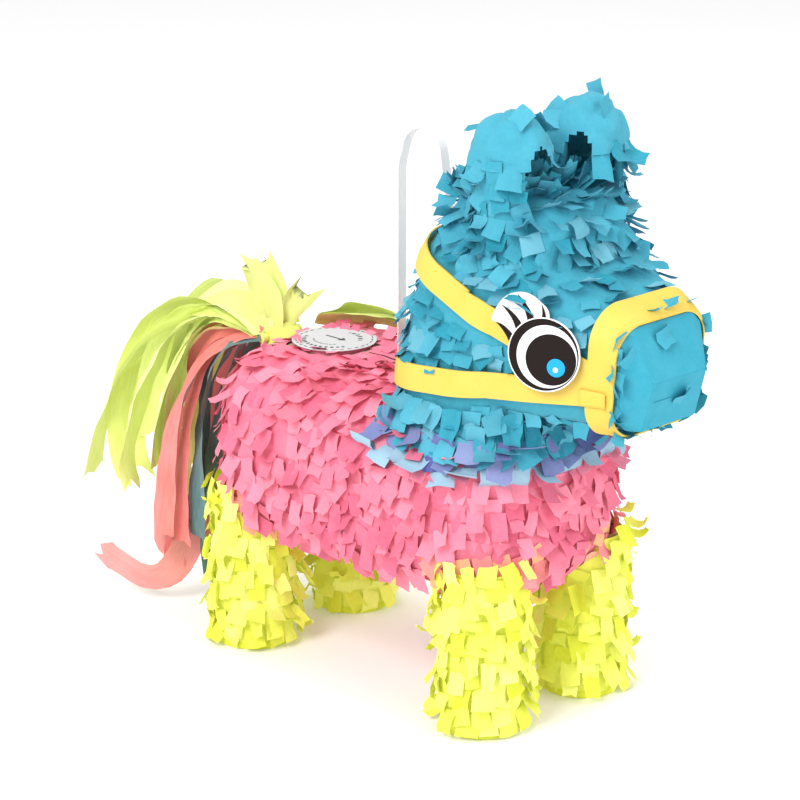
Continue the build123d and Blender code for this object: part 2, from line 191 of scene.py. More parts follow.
# ---- Materials ---------------------------------------------------------------------------------
class Wire:
    """A socket that adds, subtracts and multiplies like a number."""

    def __init__(self, finish, socket):
        self.finish = finish
        self.socket = socket

    def math(self, operation, *values):
        """One Math node on these values."""
        return self.finish.node("ShaderNodeMath", {"operation": operation}, *values)

    def __add__(self, other):
        return self.math("ADD", self, other)

    def __sub__(self, other):
        return self.math("SUBTRACT", self, other)

    def __rsub__(self, other):
        return self.math("SUBTRACT", other, self)

    def __mul__(self, other):
        return self.math("MULTIPLY", self, other)

    def __gt__(self, other):
        return self.math("GREATER_THAN", self, other)

    __radd__ = __add__
    __rmul__ = __mul__


class Finish:
    """A material and its nodes."""

    def __init__(self, name, roughness=0.8, **fixed):
        self.material = bpy.data.materials.new(name + FINISHED)
        self.material.use_nodes = True
        self.tree = self.material.node_tree
        self.shader = self.tree.nodes["Principled BSDF"]
        self.shader.inputs["Roughness"].default_value = roughness
        for label, value in fixed.items():
            self.shader.inputs[label.replace("_", " ")].default_value = value

    def node(self, kind, settings=None, *values, out=0, **named):
        """A node with its settings, the values or links of its sockets, and one of its outputs."""
        made = self.tree.nodes.new(kind)
        for key, value in (settings or {}).items():
            setattr(made, key, value)
        by_name = [(made.inputs[key], value) for key, value in named.items()]
        for socket, value in list(zip(made.inputs, values)) + by_name:
            if isinstance(value, Wire):
                self.tree.links.new(value.socket, socket)
            elif value is not None:
                socket.default_value = value
        return Wire(self, made.outputs[out])

    def place(self):
        """Object coordinates, in metres."""
        return self.node("ShaderNodeTexCoord", out="Object")

    def noise(self, scale, detail=2.0, where=None, stretch=None):
        """Noise from 0 to 1, on Object coordinates unless told otherwise."""
        spot = where or self.place()
        if stretch:
            spot = self.node("ShaderNodeMapping", None, spot, Scale=stretch)
        return self.node("ShaderNodeTexNoise", None, spot, None, scale, detail)

    def attribute(self, name, part):
        """One channel of a stored colour."""
        colour = self.node("ShaderNodeAttribute", {"attribute_name": name}, out="Color")
        return self.node("ShaderNodeSeparateColor", None, colour, out=part)

    def mix(self, low, high, share):
        """Two colours, mixed by a share."""
        made = self.tree.nodes.new("ShaderNodeMix")
        made.data_type = "RGBA"
        for socket, value in ((made.inputs[0], share), (made.inputs[6], low), (made.inputs[7], high)):
            if isinstance(value, Wire):
                self.tree.links.new(value.socket, socket)
            else:
                socket.default_value = value if socket is made.inputs[0] else (*value[:3], 1.0)
        return Wire(self, made.outputs[2])

    def feed(self, label, wire):
        """Links a wire into the shader."""
        self.tree.links.new(wire.socket, self.shader.inputs[label])
        return self

    def bump(self, height, strength, distance):
        """Roughens the surface by a height."""
        made = self.node("ShaderNodeBump", None, Strength=strength, Distance=distance, Height=height)
        return self.feed("Normal", made)


def finished(name):
    """A material made by a finish, which the frame's own of that slot doesn't shadow."""
    return bpy.data.materials[name + FINISHED]


def darker(colour, share):
    """A colour scaled down."""
    return tuple(channel * share for channel in colour)


def lighter(colour, share):
    """A colour moved towards white."""
    return tuple(channel + (1 - channel) * share for channel in colour)


def tissue_finish(name, colour, under=None, painted_glow=0.0, pale=0.17):
    """Crinkled tissue: each tab has its own tone, a single layer lets the next colour through, and a painted glow
    can make the paper give off its own colour.
    """
    finish = Finish(name, 0.78, Specular_IOR_Level=0.25, Sheen_Weight=0.06, Sheen_Roughness=0.5)
    tone = finish.attribute("tab", 0)
    through = finish.attribute("tab", 1)
    fibre = finish.noise(420.0, 4.0)
    blotch = finish.noise(60.0, 2.0)
    shade = tone * 0.75 + fibre * 0.3 + blotch * 0.3 - 0.18
    paper = finish.mix(darker(colour, 0.70), lighter(colour, pale), shade)
    paper = finish.mix(paper, under or lighter(colour, 0.3), through)
    finish.feed("Base Color", paper)
    # painted glow: the paper gives off its own colour, brightening it though it is no lamp
    if painted_glow:
        finish.feed("Emission Color", paper)
        finish.shader.inputs["Emission Strength"].default_value = painted_glow
    crinkle = finish.noise(240.0, 3.0) * 0.7 + finish.noise(900.0, 2.0) * 0.3
    return finish.bump(crinkle, 0.45, 0.0012).material


def crepe_finish(name, colour, painted_glow=0.0):
    """Crepe paper: fine wrinkles across each streamer, also painted into the colour as shade in their hollows and
    highlight on their ridges, and an optional painted glow.
    """
    finish = Finish(name, 0.7, Specular_IOR_Level=0.3, Sheen_Weight=0.2)
    strip = finish.node("ShaderNodeUVMap", {"uv_map": "strip"})
    wrinkle = finish.noise(1.0, 3.0, strip, (650.0, 60.0, 1.0))
    fold = finish.noise(1.0, 2.0, strip, (90.0, 45.0, 1.0))
    tone = finish.attribute("tab", 0)
    # painted shade and highlight: the wrinkle and fold noise that makes the bump also darkens the colour in their
    # hollows and lightens it on their ridges; each ribbon's tone is the paper's own
    shade = wrinkle * 0.4 + fold * 0.5 + tone * 0.5 - 0.2
    paper = finish.mix(darker(colour, 0.70), lighter(colour, 0.28), shade)
    finish.feed("Base Color", paper)
    # painted glow: the paper gives off its own colour, brightening it though it is no lamp
    if painted_glow:
        finish.feed("Emission Color", paper)
        finish.shader.inputs["Emission Strength"].default_value = painted_glow
    return finish.bump(wrinkle * 0.6 + fold * 0.8, 0.5, 0.0015).material


def strap_finish(name, colour):
    """Thick yellow paper with a faint pulp grain and soft dents."""
    finish = Finish(name, 0.62, Specular_IOR_Level=0.35)
    grain = finish.noise(1300.0, 3.0)
    cloud = finish.noise(45.0, 2.0)
    pulp = grain * 0.4 + cloud * 0.6
    finish.feed("Base Color", finish.mix(darker(colour, 0.86), lighter(colour, 0.10), pulp))
    return finish.bump(grain * 0.35 + finish.noise(120.0, 2.0) * 0.65, 0.25, 0.001).material


def card_finish(name, colour):
    """Bare corrugated card: flutes show as faint stripes, with fibres and specks."""
    finish = Finish(name, 0.88, Specular_IOR_Level=0.2)
    flute = finish.node("ShaderNodeTexWave", {"wave_type": "BANDS", "bands_direction": "X"},
                        finish.place(), 55.0, 1.5, 2.0, out=1)
    fibre = finish.noise(700.0, 4.0)
    speck = finish.noise(1500.0, 1.0) > 0.68
    brown = finish.mix(darker(colour, 0.8), lighter(colour, 0.12), fibre * 0.6 + flute * 0.4)
    finish.feed("Base Color", finish.mix(brown, darker(colour, 0.5), speck * 0.35))
    return finish.bump(flute * 0.5 + fibre * 0.3, 0.3, 0.0008).material


def wrap_finish(name, colour):
    """Smooth blue wrapping tissue: fine fibres, faint creases and darker folds."""
    finish = Finish(name, 0.7, Specular_IOR_Level=0.25)
    fibre = finish.noise(500.0, 4.0)
    cloud = finish.noise(70.0, 3.0)
    tone = finish.attribute("tab", 0)
    finish.feed("Base Color", finish.mix(darker(colour, 0.78), lighter(colour, 0.07),
                                         cloud * 0.5 + fibre * 0.3 + tone * 0.2))
    return finish.bump(finish.noise(90.0, 4.0) * 0.7 + fibre * 0.3, 0.35, 0.0012).material


def plastic_finish(name):
    """The loop's milky, see-through plastic, with faint drawing lines along it."""
    finish = Finish(name, 0.28, Specular_IOR_Level=0.5, Transmission_Weight=0.25, IOR=1.46)
    line = finish.noise(160.0, 2.0, None, (1.0, 14.0, 0.4))
    finish.feed("Base Color", finish.mix((0.80, 0.81, 0.83), (0.93, 0.94, 0.95), line))
    finish.feed("Alpha", finish.node("ShaderNodeMapRange", None, line, 0.0, 1.0, 0.62, 0.78))
    return finish.bump(line, 0.15, 0.0006).material


def wood_finish(name):
    """A plain pale stick, grain along X."""
    finish = Finish(name, 0.6)
    grain = finish.noise(90.0, 4.0, None, (0.12, 1.0, 1.0))
    finish.feed("Base Color", finish.mix((0.50, 0.33, 0.17), (0.70, 0.52, 0.31), grain))
    return finish.bump(grain, 0.3, 0.0006).material


def print_finish(name, colour, roughness=0.35, grain=0.04):
    """Printed card: even ink on paper, with a faint mottle."""
    finish = Finish(name, roughness, Specular_IOR_Level=0.12)
    mottle = finish.noise(800.0, 3.0)
    finish.feed("Base Color", finish.mix(darker(colour, 1 - 2 * grain), lighter(colour, grain), mottle))
    return finish.bump(mottle, 0.08, 0.0004).material


# ---- Mesh tools --------------------------------------------------------------------------------
def piece_from(bm, name, materials, body="root", slot=None, hides=(), smooth=True):
    """Turns a bmesh into a piece that rides on a body."""
    mesh = bpy.data.meshes.new(name)
    bm.to_mesh(mesh)
    bm.free()
    return piece_from_mesh(mesh, name, materials, body, slot, hides, smooth)


def piece_from_mesh(mesh, name, materials, body="root", slot=None, hides=(), smooth=True):
    """Puts a mesh in the scene as a piece that rides on a body."""
    for material in materials:
        mesh.materials.append(material)
    mesh.polygons.foreach_set("use_smooth", [smooth] * len(mesh.polygons))
    piece = bpy.data.objects.new(name, mesh)
    bpy.context.scene.collection.objects.link(piece)
    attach(piece, body)
    if hides:
        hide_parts(*hides)
    return piece


def across(normal, down):
    """Down made square to the normal, and the direction across both."""
    down = down - normal * down.dot(normal)
    if down.length < 1e-6:
        down = normal.orthogonal()
    down.normalize()
    return down, normal.cross(down)


def tab_shapes(rng, count=16, rows=4, columns=2):
    """Tab patterns one unit long and wide: root at the origin, running along +Y, curling along Z."""
    shapes = []
    for _ in range(count):
        bm = bmesh.new()
        bmesh.ops.create_grid(bm, x_segments=columns, y_segments=rows, size=0.5)
        bmesh.ops.translate(bm, vec=(0, 0.5, 0), verts=bm.verts)
        lines = [[v for v in bm.verts if round(v.co.y * rows) == row] for row in range(rows + 1)]
        lift = rng.normal(0.30, 0.16)
        curl = rng.normal(0.0, 0.24)
        for row in range(rows):
            hinge = sum((v.co for v in lines[row]), Vector()) / len(lines[row])
            beyond = [v for line in lines[row + 1:] for v in line]
            bend = (lift if row == 0 else curl) + rng.normal(0, 0.08)
            bmesh.ops.rotate(bm, cent=hinge, matrix=Matrix.Rotation(bend, 3, "X"), verts=beyond)
        cup = rng.normal(0, 0.22)
        for side in (-1, 1):
            edge = [v for v in bm.verts if v.co.x * side > 0.3]
            bmesh.ops.rotate(bm, cent=(0, 0, 0), matrix=Matrix.Rotation(cup * side, 3, "Y"), verts=edge)
        bmesh.ops.rotate(bm, cent=(0, 0, 0), matrix=Matrix.Rotation(rng.normal(0, 0.16), 3, "Z"),
                         verts=[v for line in lines[1:] for v in line])
        for v in bm.verts:
            v.co += Vector(rng.normal(0, 0.022, 3)) * (0.3 + v.co.y)
        bm.verts.index_update()
        points = np.array([v.co[:] for v in bm.verts])
        faces = np.array([[v.index for v in face.verts] for face in bm.faces])
        shapes.append((points, faces))
        bm.free()
    return shapes


class TabField:
    """Collects tissue tabs and writes them as one mesh."""

    def __init__(self, seed, shapes=None):
        self.rng = np.random.default_rng(seed)
        self.shapes = shapes or tab_shapes(self.rng)
        self.rows = []

    def add(self, spot, normal, down, width, length, through=0.0, lift=0.0):
        """One tab rooted at a spot, running down the surface."""
        down, side = across(normal, down)
        if lift:
            turn = Matrix.Rotation(lift, 3, side)
            down, normal = turn @ down, turn @ normal
        self.rows.append((spot, side * width, down * length, normal * length, through))

    def mesh(self, name, skins=()):
        """All tabs, with any skins, as one mesh."""
        points, faces, marks, start = [], [], [], 0
        for spot, side, down, normal, through in self.rows:
            shape, quads = self.shapes[self.rng.integers(len(self.shapes))]
            frame_rows = np.array([side[:], down[:], normal[:]])
            points.append(shape @ frame_rows + np.array(spot[:]))
            faces.append(quads + start)
            start += len(shape)
            marks.append(np.tile([self.rng.random(), through, 0, 1], (len(shape), 1)))
        tabs = bpy.data.meshes.new(name)
        if points:
            tabs.from_pydata(np.concatenate(points).tolist(), [], np.concatenate(faces).tolist())
            tone = tabs.attributes.new("tab", "FLOAT_COLOR", "POINT")
            tone.data.foreach_set("color", np.concatenate(marks).ravel())
        if not skins:
            return tabs
        bm = bmesh.new()
        bm.from_mesh(tabs)
        for skin in skins:
            bm.from_mesh(skin)
        bm.to_mesh(tabs)
        bm.free()
        return tabs


def wrap_skin(name, spots, tone=0.4, keep=None, close=True):
    """A skin through rows of spots (rows x columns), its seam joined, cut away where keep says so."""
    rows, columns = len(spots), len(spots[0])
    bm = bmesh.new()
    bmesh.ops.create_grid(bm, x_segments=columns, y_segments=rows - 1, size=0.5)
    for v in bm.verts:
        column = round((v.co.x + 0.5) * columns) % columns
        row = round((v.co.y + 0.5) * (rows - 1))
        v.co = spots[row][column]
    bmesh.ops.remove_doubles(bm, verts=bm.verts, dist=2e-5)
    if close:
        bmesh.ops.holes_fill(bm, edges=[e for e in bm.edges if e.is_boundary], sides=0)
    if keep:
        gone = [f for f in bm.faces if not keep(f.calc_center_median())]
        bmesh.ops.delete(bm, geom=gone, context="FACES")
    bmesh.ops.recalc_face_normals(bm, faces=bm.faces)
    layer = bm.verts.layers.float_color.new("tab")
    for v in bm.verts:
        v[layer] = (tone, 0, 0, 1)
    mesh = bpy.data.meshes.new(name)
    bm.to_mesh(mesh)
    bm.free()
    return mesh


def swung(rng, spread, normal, down):
    """A direction down a surface, turned on it by a random angle."""
    return Matrix.Rotation(rng.normal(0, spread), 3, normal) @ down


def crumple(spot, normal, depth, scale=110.0):
    """A spot pushed in or out along its normal by smooth noise."""
    return spot + normal * depth * noise.noise(spot * scale)


# ---- Rows over the forms -----------------------------------------------------------------------
def cast(tree, origin, direction, reach=0.4):
    """The outermost spot and normal of a form, seen from a direction."""
    for shift in (Vector(), Vector((0.003, 0.0, 0.0)), Vector((0.0, 0.009, 0.0))):
        spot, normal, _, _ = tree.ray_cast(origin + shift + direction * reach, -direction, reach)
        if spot is not None:
            return spot - shift, normal if normal.dot(direction) > 0 else -normal
    return None


def stadium(share, half_run, bend):
    """A point and outward direction on a stadium: two straight runs along X joined by half circles."""
    run, arc = 2 * half_run, pi * bend
    along = (share % 1.0) * 2 * (run + arc)
    if along < run:
        return along - half_run, -pi / 2
    along -= run
    if along < arc:
        return half_run, -pi / 2 + along / bend
    along -= arc
    if along < run:
        return half_run - along, pi / 2
    return -half_run, pi / 2 + (along - run) / bend


def fill_gaps(ring):
    """A ring with each missed sample taken from its neighbour."""
    known = next(sample for sample in ring if sample)
    full = []
    for sample in ring:
        known = sample or known
        full.append(known)
    return full


def torso_ring(latitude, count):
    """Spots, normals and downward directions all round the torso, as seen from its spine."""
    low, high = box("back_panel")[0], box("back_panel")[1]
    bottom = box("belly_panel")[0].z
    half_run = (high.x - low.x) / 2 - 0.060
    ring = []
    for k in range(count):
        x, turn = stadium(k / count, half_run, 0.060)
        level = Vector((cos(turn), sin(turn), 0))
        direction = level * cos(latitude) + UP * sin(latitude)
        origin = Vector((LEG_MID.x + x, 0, (bottom + high.z) / 2))
        hit = cast(TORSO, origin, direction)
        down = level * sin(latitude) - UP * cos(latitude)
        ring.append((*hit, down) if hit else None)
    return fill_gaps(ring)


def head_ring(height, count, tree=HEAD):
    """Spots, normals and downward directions all round the neck and head at one height."""
    low, high = box("head_shell")
    axis = Vector(((low.x + high.x) / 2 - 0.004, 0, height))
    ring = []
    for k in range(count):
        turn = tau * k / count
        level = Vector((cos(turn), sin(turn), 0))
        hit = cast(tree, axis, level)
        ring.append((*hit, -UP) if hit else None)
    return fill_gaps(ring)


def walk(ring, step, start=0.0):
    """Points at even steps along a closed ring of samples."""
    spots = [sample for sample in ring if sample]
    done, target = 0.0, start
    for here, after in zip(spots, spots[1:] + spots[:1]):
        span = (after[0] - here[0]).length
        while span > 1e-9 and target <= done + span:
            share = (target - done) / span
            yield (here[0].lerp(after[0], share), here[1].lerp(after[1], share).normalized(),
                   here[2].lerp(after[2], share))
            target += step
        done += span


def even_latitudes(step, low, high):
    """Latitudes whose rows lie an even step apart on the torso's flank."""
    middle = Vector((LEG_MID.x, 0, (box("belly_panel")[0].z + box("back_panel")[1].z) / 2))
    side = -Vector((0, 1, 0))
    samples = np.linspace(low, high, 240)
    found, last, run = [low], None, 0.0
    for latitude in samples:
        spot = cast(TORSO, middle, side * cos(latitude) + UP * sin(latitude))[0]
        if last is not None:
            run += (spot - last).length
            if run >= step:
                found.append(latitude)
                run = 0.0
        last = spot
    return found


def in_neck(spot):
    """Whether a spot on the torso is under the neck."""
    low, high = box("neck_shell")
    inside = low.x + 0.004 < spot.x < high.x - 0.010 and abs(spot.y) < high.y - 0.008
    return inside and spot.z > low.z


def in_leg(spot, margin=0.002):
    """Whether a spot on the torso is inside a leg."""
    if spot.z > LEG_TOP:
        return False
    return any((spot - axis).xy.length < LEG_RADIUS - margin for axis in LEG_AXES.values())


def near_hatch(spot, margin):
    """Whether a spot is within a margin of the hatch disc."""
    return spot.z > HATCH.z - 0.02 and (spot - HATCH).xy.length < HATCH_RADIUS + margin


def near_loop(spot, margin=0.0035):
    """Whether a spot is in a bare patch that one of the loop's legs swings through."""
    if spot.z < HATCH.z - 0.03 or abs(spot.y) > 0.015:
        return False
    ends = (box("loop_rear_end"), box("loop_front_end"))
    return any(abs(spot.x - (low.x + high.x) / 2) < margin for low, high in ends)


# ---- Operators ---------------------------------------------------------------------------------
class PINATA_OT_body_fringe(Operator):
    """Pink tissue rows over the torso, in three bands"""
    bl_idname = "pinata.body_fringe"
    bl_label = "Body Fringe"

    def execute(self, context):
        fringe, colours = context.scene.pinata_fringe, context.scene.pinata_colours
        rng = np.random.default_rng(fringe.seed)
        under = tuple(0.5 * (a + b) for a, b in zip(colours.pink, colours.yellow))
        # 0.05 is a painted glow: the pink paper gives off its own colour
        pink = tissue_finish("pink_tissue", colours.pink, under, 0.05)
        shapes = tab_shapes(rng)
        low_z = box("middle_body_fringe")[0].z
        top_z = box("middle_body_fringe")[1].z
        fields = [TabField(fringe.seed + k, shapes) for k in range(3)]
        latitudes = even_latitudes(fringe.row_step, radians(-82), radians(86))
        for latitude in latitudes:
            ring = torso_ring(latitude, 240)
            for spot, normal, down in walk(ring, fringe.tab_width, rng.random() * fringe.tab_width):
                if in_neck(spot) or in_leg(spot) or near_hatch(spot, 0.004) or near_loop(spot):
                    continue
                if normal.z < -0.6 and rng.random() < 0.35:
                    continue
                band = 0 if spot.z < low_z else 1 if spot.z < top_z else 2
                hem = any((spot - axis).xy.length < LEG_RADIUS + 0.012 for axis in LEG_AXES.values())
                through = 0.6 * rng.random() if hem and spot.z < low_z + 0.006 else 0.0
                jitter = Vector(rng.normal(0, 0.0009, 3))
                flat = near_hatch(spot, 0.016)
                length = fringe.tab_length * rng.uniform(0.8, 1.12) * (0.6 if flat else 1.0)
                turned = swung(rng, 0.22, normal, down)
                fields[band].add(spot + normal * PASTED + jitter, normal, turned,
                                 fringe.tab_width * rng.uniform(0.85, 1.12), length, through,
                                 -0.15 if flat else rng.normal(0, 0.12))
        names = ("lower_body_fringe", "middle_body_fringe", "upper_body_fringe")
        edges = (radians(-89), *self.band_latitudes(low_z, top_z), radians(89))
        for k, name in enumerate(names):
            skin = self.skin(name, edges[k], edges[k + 1])
            mesh = fields[k].mesh(name + "_tabs", [skin])
            piece_from_mesh(mesh, name + "_tabs", [pink], "root", "pink_tissue", (name,))
        return {"FINISHED"}

    def band_latitudes(self, low_z, top_z):
        """Latitudes at which the three bands meet on the flank."""
        middle = (box("belly_panel")[0].z + box("back_panel")[1].z) / 2
        half = box("back_panel")[1].y
        return [float(np.arctan2(z - middle, half)) for z in (low_z, top_z)]

    def skin(self, name, low, high):
        """Pasted tissue between two latitudes."""
        rows = max(4, round((high - low) / radians(5)))
        spots = []
        for latitude in np.linspace(low, high, rows):
            ring = torso_ring(float(latitude), 200)
            spots.append([crumple(spot, normal, 0.0008) + normal * 0.0014 for spot, normal, _ in ring])
        return wrap_skin(name + "_skin", spots, 0.35,
                         lambda spot: not (near_hatch(spot, 0.001) or near_loop(spot)), False)


class PINATA_OT_head_fringe(Operator):
    """Blue tissue rows over the neck, head and muzzle"""
    bl_idname = "pinata.head_fringe"
    bl_label = "Head Fringe"

    def execute(self, context):
        fringe, colours = context.scene.pinata_fringe, context.scene.pinata_colours
        rng = np.random.default_rng(fringe.seed + 10)
        # 0.02 is a painted glow: the blue paper gives off its own colour
        blue = tissue_finish("blue_tissue", colours.blue, lighter(colours.blue, 0.2), 0.02, 0.08)
        shapes = tab_shapes(rng)
        fields = {name: TabField(fringe.seed + k, shapes)
                  for k, name in enumerate(("neck_fringe", "head_fringe", "muzzle_fringe"))}
        seam = box("head_shell")[0].z
        muzzle_x = box("muzzle_shell")[1].x
        step = fringe.row_step * 0.9
        low, high = box("neck_shell")[0].z + 0.020, box("head_shell")[1].z
        straps = [StrapZone(name) for name in ("noseband_strap", "poll_strap", "throat_strap")]
        for height in np.arange(low, high - 0.001, step):
            ring = head_ring(float(height), 360)
            start = rng.random() * fringe.tab_width
            for spot, normal, down in walk(ring, fringe.tab_width * 0.95, start):
                if spot.x > muzzle_x - 0.006:
                    continue
                smooth = self.on_forehead(spot, normal, muzzle_x)
                if smooth and rng.random() < 0.6:
                    continue
                near = min(zone.distance(spot) for zone in straps)
                if near < 0.004:
                    continue
                pressed = near < 0.018 and any(zone.below(spot) for zone in straps)
                name = "neck_fringe" if spot.z < seam else "head_fringe"
                if spot.x > box("head_shell")[1].x - 0.004:
                    name = "muzzle_fringe"
                wild = 0.35 if spot.z > high - 0.035 else 0.0
                turned = swung(rng, 0.26 + wild, normal, down)
                length = fringe.tab_length * rng.uniform(0.72, 1.08)
                fields[name].add(spot + normal * 0.0018, normal, turned,
                                 fringe.tab_width * rng.uniform(0.85, 1.15),
                                 length * (0.62 if pressed or smooth else 1.0), 0.5 * (rng.random() < 0.15),
                                 -0.22 if pressed else rng.normal(0.02, 0.16) - wild)
        self.crown(fields["head_fringe"], fringe, rng)
        heights = np.concatenate((np.arange(low - 0.014, high - 0.008, 0.004),
                                  np.arange(high - 0.008, high - 0.0005, 0.0015)))
        rings = [head_ring(float(height), 200) for height in heights]
        spots = [[crumple(s, n, 0.0009) + n * PASTED for s, n, _ in ring] for ring in rings]
        split = next(k for k, height in enumerate(heights) if height > seam)
        skins = {"neck_fringe": spots[:split + 1], "head_fringe": spots[split:]}
        for name, field in fields.items():
            skin = []
            if name in skins:
                skin = [wrap_skin(name + "_skin", skins[name], 0.45,
                                  lambda spot: spot.x < muzzle_x + 0.001, name == "head_fringe")]
            piece_from_mesh(field.mesh(name + "_tabs", skin), name + "_tabs", [blue], "root",
                            "blue_tissue", (name,))
        return {"FINISHED"}

    def on_forehead(self, spot, normal, muzzle_x):
        """Whether a spot is on the smooth slope between the brow and the noseband."""
        brow = box("noseband_strap")[0].x - 0.018
        return spot.x > brow and normal.z > 0.3

    def crown(self, field, fringe, rng):
        """Loose tabs all ways on top of the head, between the ears."""
        low, high = box("head_shell")
        middle = Vector(((low.x + high.x) / 2 + 0.006, 0, 0))
        for _ in range(150):
            turn, reach = rng.random() * tau, rng.random() ** 0.6
            spot = middle + Vector((cos(turn) * 0.034 * reach, sin(turn) * 0.040 * reach, 0))
            hit = HEAD.ray_cast(Vector((spot.x, spot.y, high.z + 0.05)), -UP, 0.2)
            if hit[0] is None:
                continue
            down = Vector((cos(turn), sin(turn), 0)) + Vector(rng.normal(0, 0.5, 3))
            field.add(hit[0] + UP * 0.002, (hit[1] + Vector(rng.normal(0, 0.25, 3))).normalized(), down,
                      fringe.tab_width, fringe.tab_length * rng.uniform(0.8, 1.3), 0.0,
                      -rng.uniform(0.1, 0.9))


class StrapZone:
    """How far a spot is from the middle plane of a strap."""

    def __init__(self, node):
        mesh = frame["nodes"][node].data
        self.spots = [v.co.copy() for v in mesh.vertices]
        low, high = box(node)
        self.low, self.high = low, high
        side_run = np.array([[p.x, p.z, 1.0] for p in self.spots])
        middle = side_run[:, :2].mean(0)
        _, _, axes = np.linalg.svd(side_run[:, :2] - middle)
        self.middle, self.normal = middle, axes[1]
        if self.normal[1] < 0:
            self.normal = -self.normal
        self.half = 0.0078

    def height(self, spot):
        """Signed distance from the strap's middle plane."""
        return float(np.dot(np.array((spot.x, spot.z)) - self.middle, self.normal))

    def distance(self, spot):
        """Distance outside the strap's edges."""
        reach = 0.008
        if not self.low.x - reach < spot.x < self.high.x + reach:
            return 1.0
        if not self.low.z - 0.02 < spot.z < self.high.z + 0.02:
            return 1.0
        return max(0.0, abs(self.height(spot)) - self.half)

    def below(self, spot):
        """Whether a tab rooted here would hang over the strap."""
        return self.height(spot) > 0


class PINATA_OT_ruffle(Operator):
    """The blue ruffle and the violet band at the neck's foot"""
    bl_idname = "pinata.ruffle"
    bl_label = "Neck Ruffle"

    def execute(self, context):
        fringe, colours = context.scene.pinata_fringe, context.scene.pinata_colours
        rng = np.random.default_rng(fringe.seed + 20)
        blue = finished("blue_tissue")
        # 0.04 is a painted glow: the violet paper gives off its own colour
        violet = tissue_finish("violet_tissue", colours.violet, lighter(colours.blue, 0.35), 0.04)
        shapes = tab_shapes(rng)
        ruffle, band = TabField(fringe.seed + 21, shapes), TabField(fringe.seed + 22, shapes)
        low, high = box("neck_ruffle")
        for level, lean in ((0.012, 0.04), (0.021, 0.02), (0.029, 0.0)):
            for spot, normal, down in walk(head_ring(low.z + level + 0.012, 300, ALL_CARD),
                                           fringe.tab_width * 0.9, rng.random() * 0.01):
                if self.buried(spot):
                    continue
                ruffle.add(spot + normal * rng.uniform(0.003, 0.006), normal,
                           swung(rng, 0.2, normal, down),
                           fringe.tab_width * rng.uniform(0.9, 1.25),
                           fringe.tab_length * rng.uniform(0.8, 1.25),
                           0.25 * (rng.random() < 0.2), -lean + rng.normal(0.05, 0.15))
        for level in (0.004, 0.012, 0.020):
            for spot, normal, down in walk(head_ring(low.z + level + 0.004, 300, ALL_CARD),
                                           fringe.tab_width * 1.25, rng.random() * 0.01):
                if self.buried(spot):
                    continue
                through = 0.75 if level < 0.008 else 0.15 * rng.random()
                band.add(spot + normal * rng.uniform(0.004, 0.0055), normal,
                         swung(rng, 0.12, normal, down),
                         fringe.tab_width * rng.uniform(1.2, 1.6),
                         fringe.tab_length * rng.uniform(0.8, 1.1),
                         through, rng.normal(-0.1, 0.08))
        for name, field, tissue, slot in (("neck_ruffle", ruffle, blue, "blue_tissue"),
                                          ("collar_band", band, violet, "violet_tissue")):
            piece_from_mesh(field.mesh(name + "_tabs"), name + "_tabs", [tissue], "root", slot, (name,))
        return {"FINISHED"}

    def buried(self, spot):
        """Whether a spot is behind the neck, where the back covers the ruffle."""
        return spot.x < box("neck_ruffle")[0].x + 0.006 or spot.x > box("neck_shell")[1].x + 0.02


class PINATA_OT_leg_fringe(Operator):
    """Yellow tissue rows round each leg, and its foot"""
    bl_idname = "pinata.leg_fringe"
    bl_label = "Leg Fringe"

    def execute(self, context):
        fringe, colours = context.scene.pinata_fringe, context.scene.pinata_colours
        rng = np.random.default_rng(fringe.seed + 30)
        # 0.10 is a painted glow: the yellow paper gives off its own colour
        yellow = tissue_finish("yellow_tissue", colours.yellow, lighter(colours.yellow, 0.3), 0.10)
        shapes = tab_shapes(rng)
        for k, name in enumerate(LEGS):
            axis = LEG_AXES[name]
            field = TabField(fringe.seed + 31 + k, shapes)
            skin_rows = []
            for height in np.arange(0.0165, LEG_TOP + 0.008, fringe.row_step):
                for spot, normal in self.round(axis, height, rng.random(), fringe.tab_width):
                    if height > LEG_TOP - 0.012 and self.under_body(spot):
                        continue
                    down = swung(rng, 0.14, normal, -UP)
                    length = min(fringe.tab_length * rng.uniform(0.85, 1.15), height - 0.0015)
                    field.add(spot + normal * 0.001, normal, down,
                              fringe.tab_width * rng.uniform(0.9, 1.15), length,
                              0.4 * (rng.random() < 0.2), rng.normal(0.02, 0.12) - 0.05)
            for height in (0.0015, 0.004, 0.010, 0.02, 0.04, 0.06, 0.08, LEG_TOP):
                pull = 0.0022 if height < 0.002 else 0.0004
                ring = self.round(axis, height, 0.0, 0.004)
                skin_rows.append([crumple(s, n, 0.0006) - n * pull for s, n in ring])
            skin = wrap_skin(name + "_skin", skin_rows, 0.5, None, False)
            mesh = field.mesh(name + "_leg_tabs", [skin])
            piece_from_mesh(mesh, name + "_leg_tabs", [yellow], "root", "yellow_tissue",
                            (name + "_leg_fringe",))
            foot = frame["nodes"][name + "_foot_disc"]
            foot.data.materials.clear()
            foot.data.materials.append(yellow)
        return {"FINISHED"}

    def round(self, axis, height, phase, step):
        """Spots and normals round a leg."""
        reach = LEG_RADIUS + 0.0024
        count = round(tau * reach / step)
        spots = []
        for k in range(count):
            turn = tau * (k + phase) / count
            normal = Vector((cos(turn), sin(turn), 0))
            spots.append((Vector((axis.x, axis.y, height)) + normal * reach, normal))
        return spots

    def under_body(self, spot):
        """Whether a spot is under the belly."""
        return abs(spot.x - LEG_MID.x) < 0.085 or abs(spot.y) < 0.035


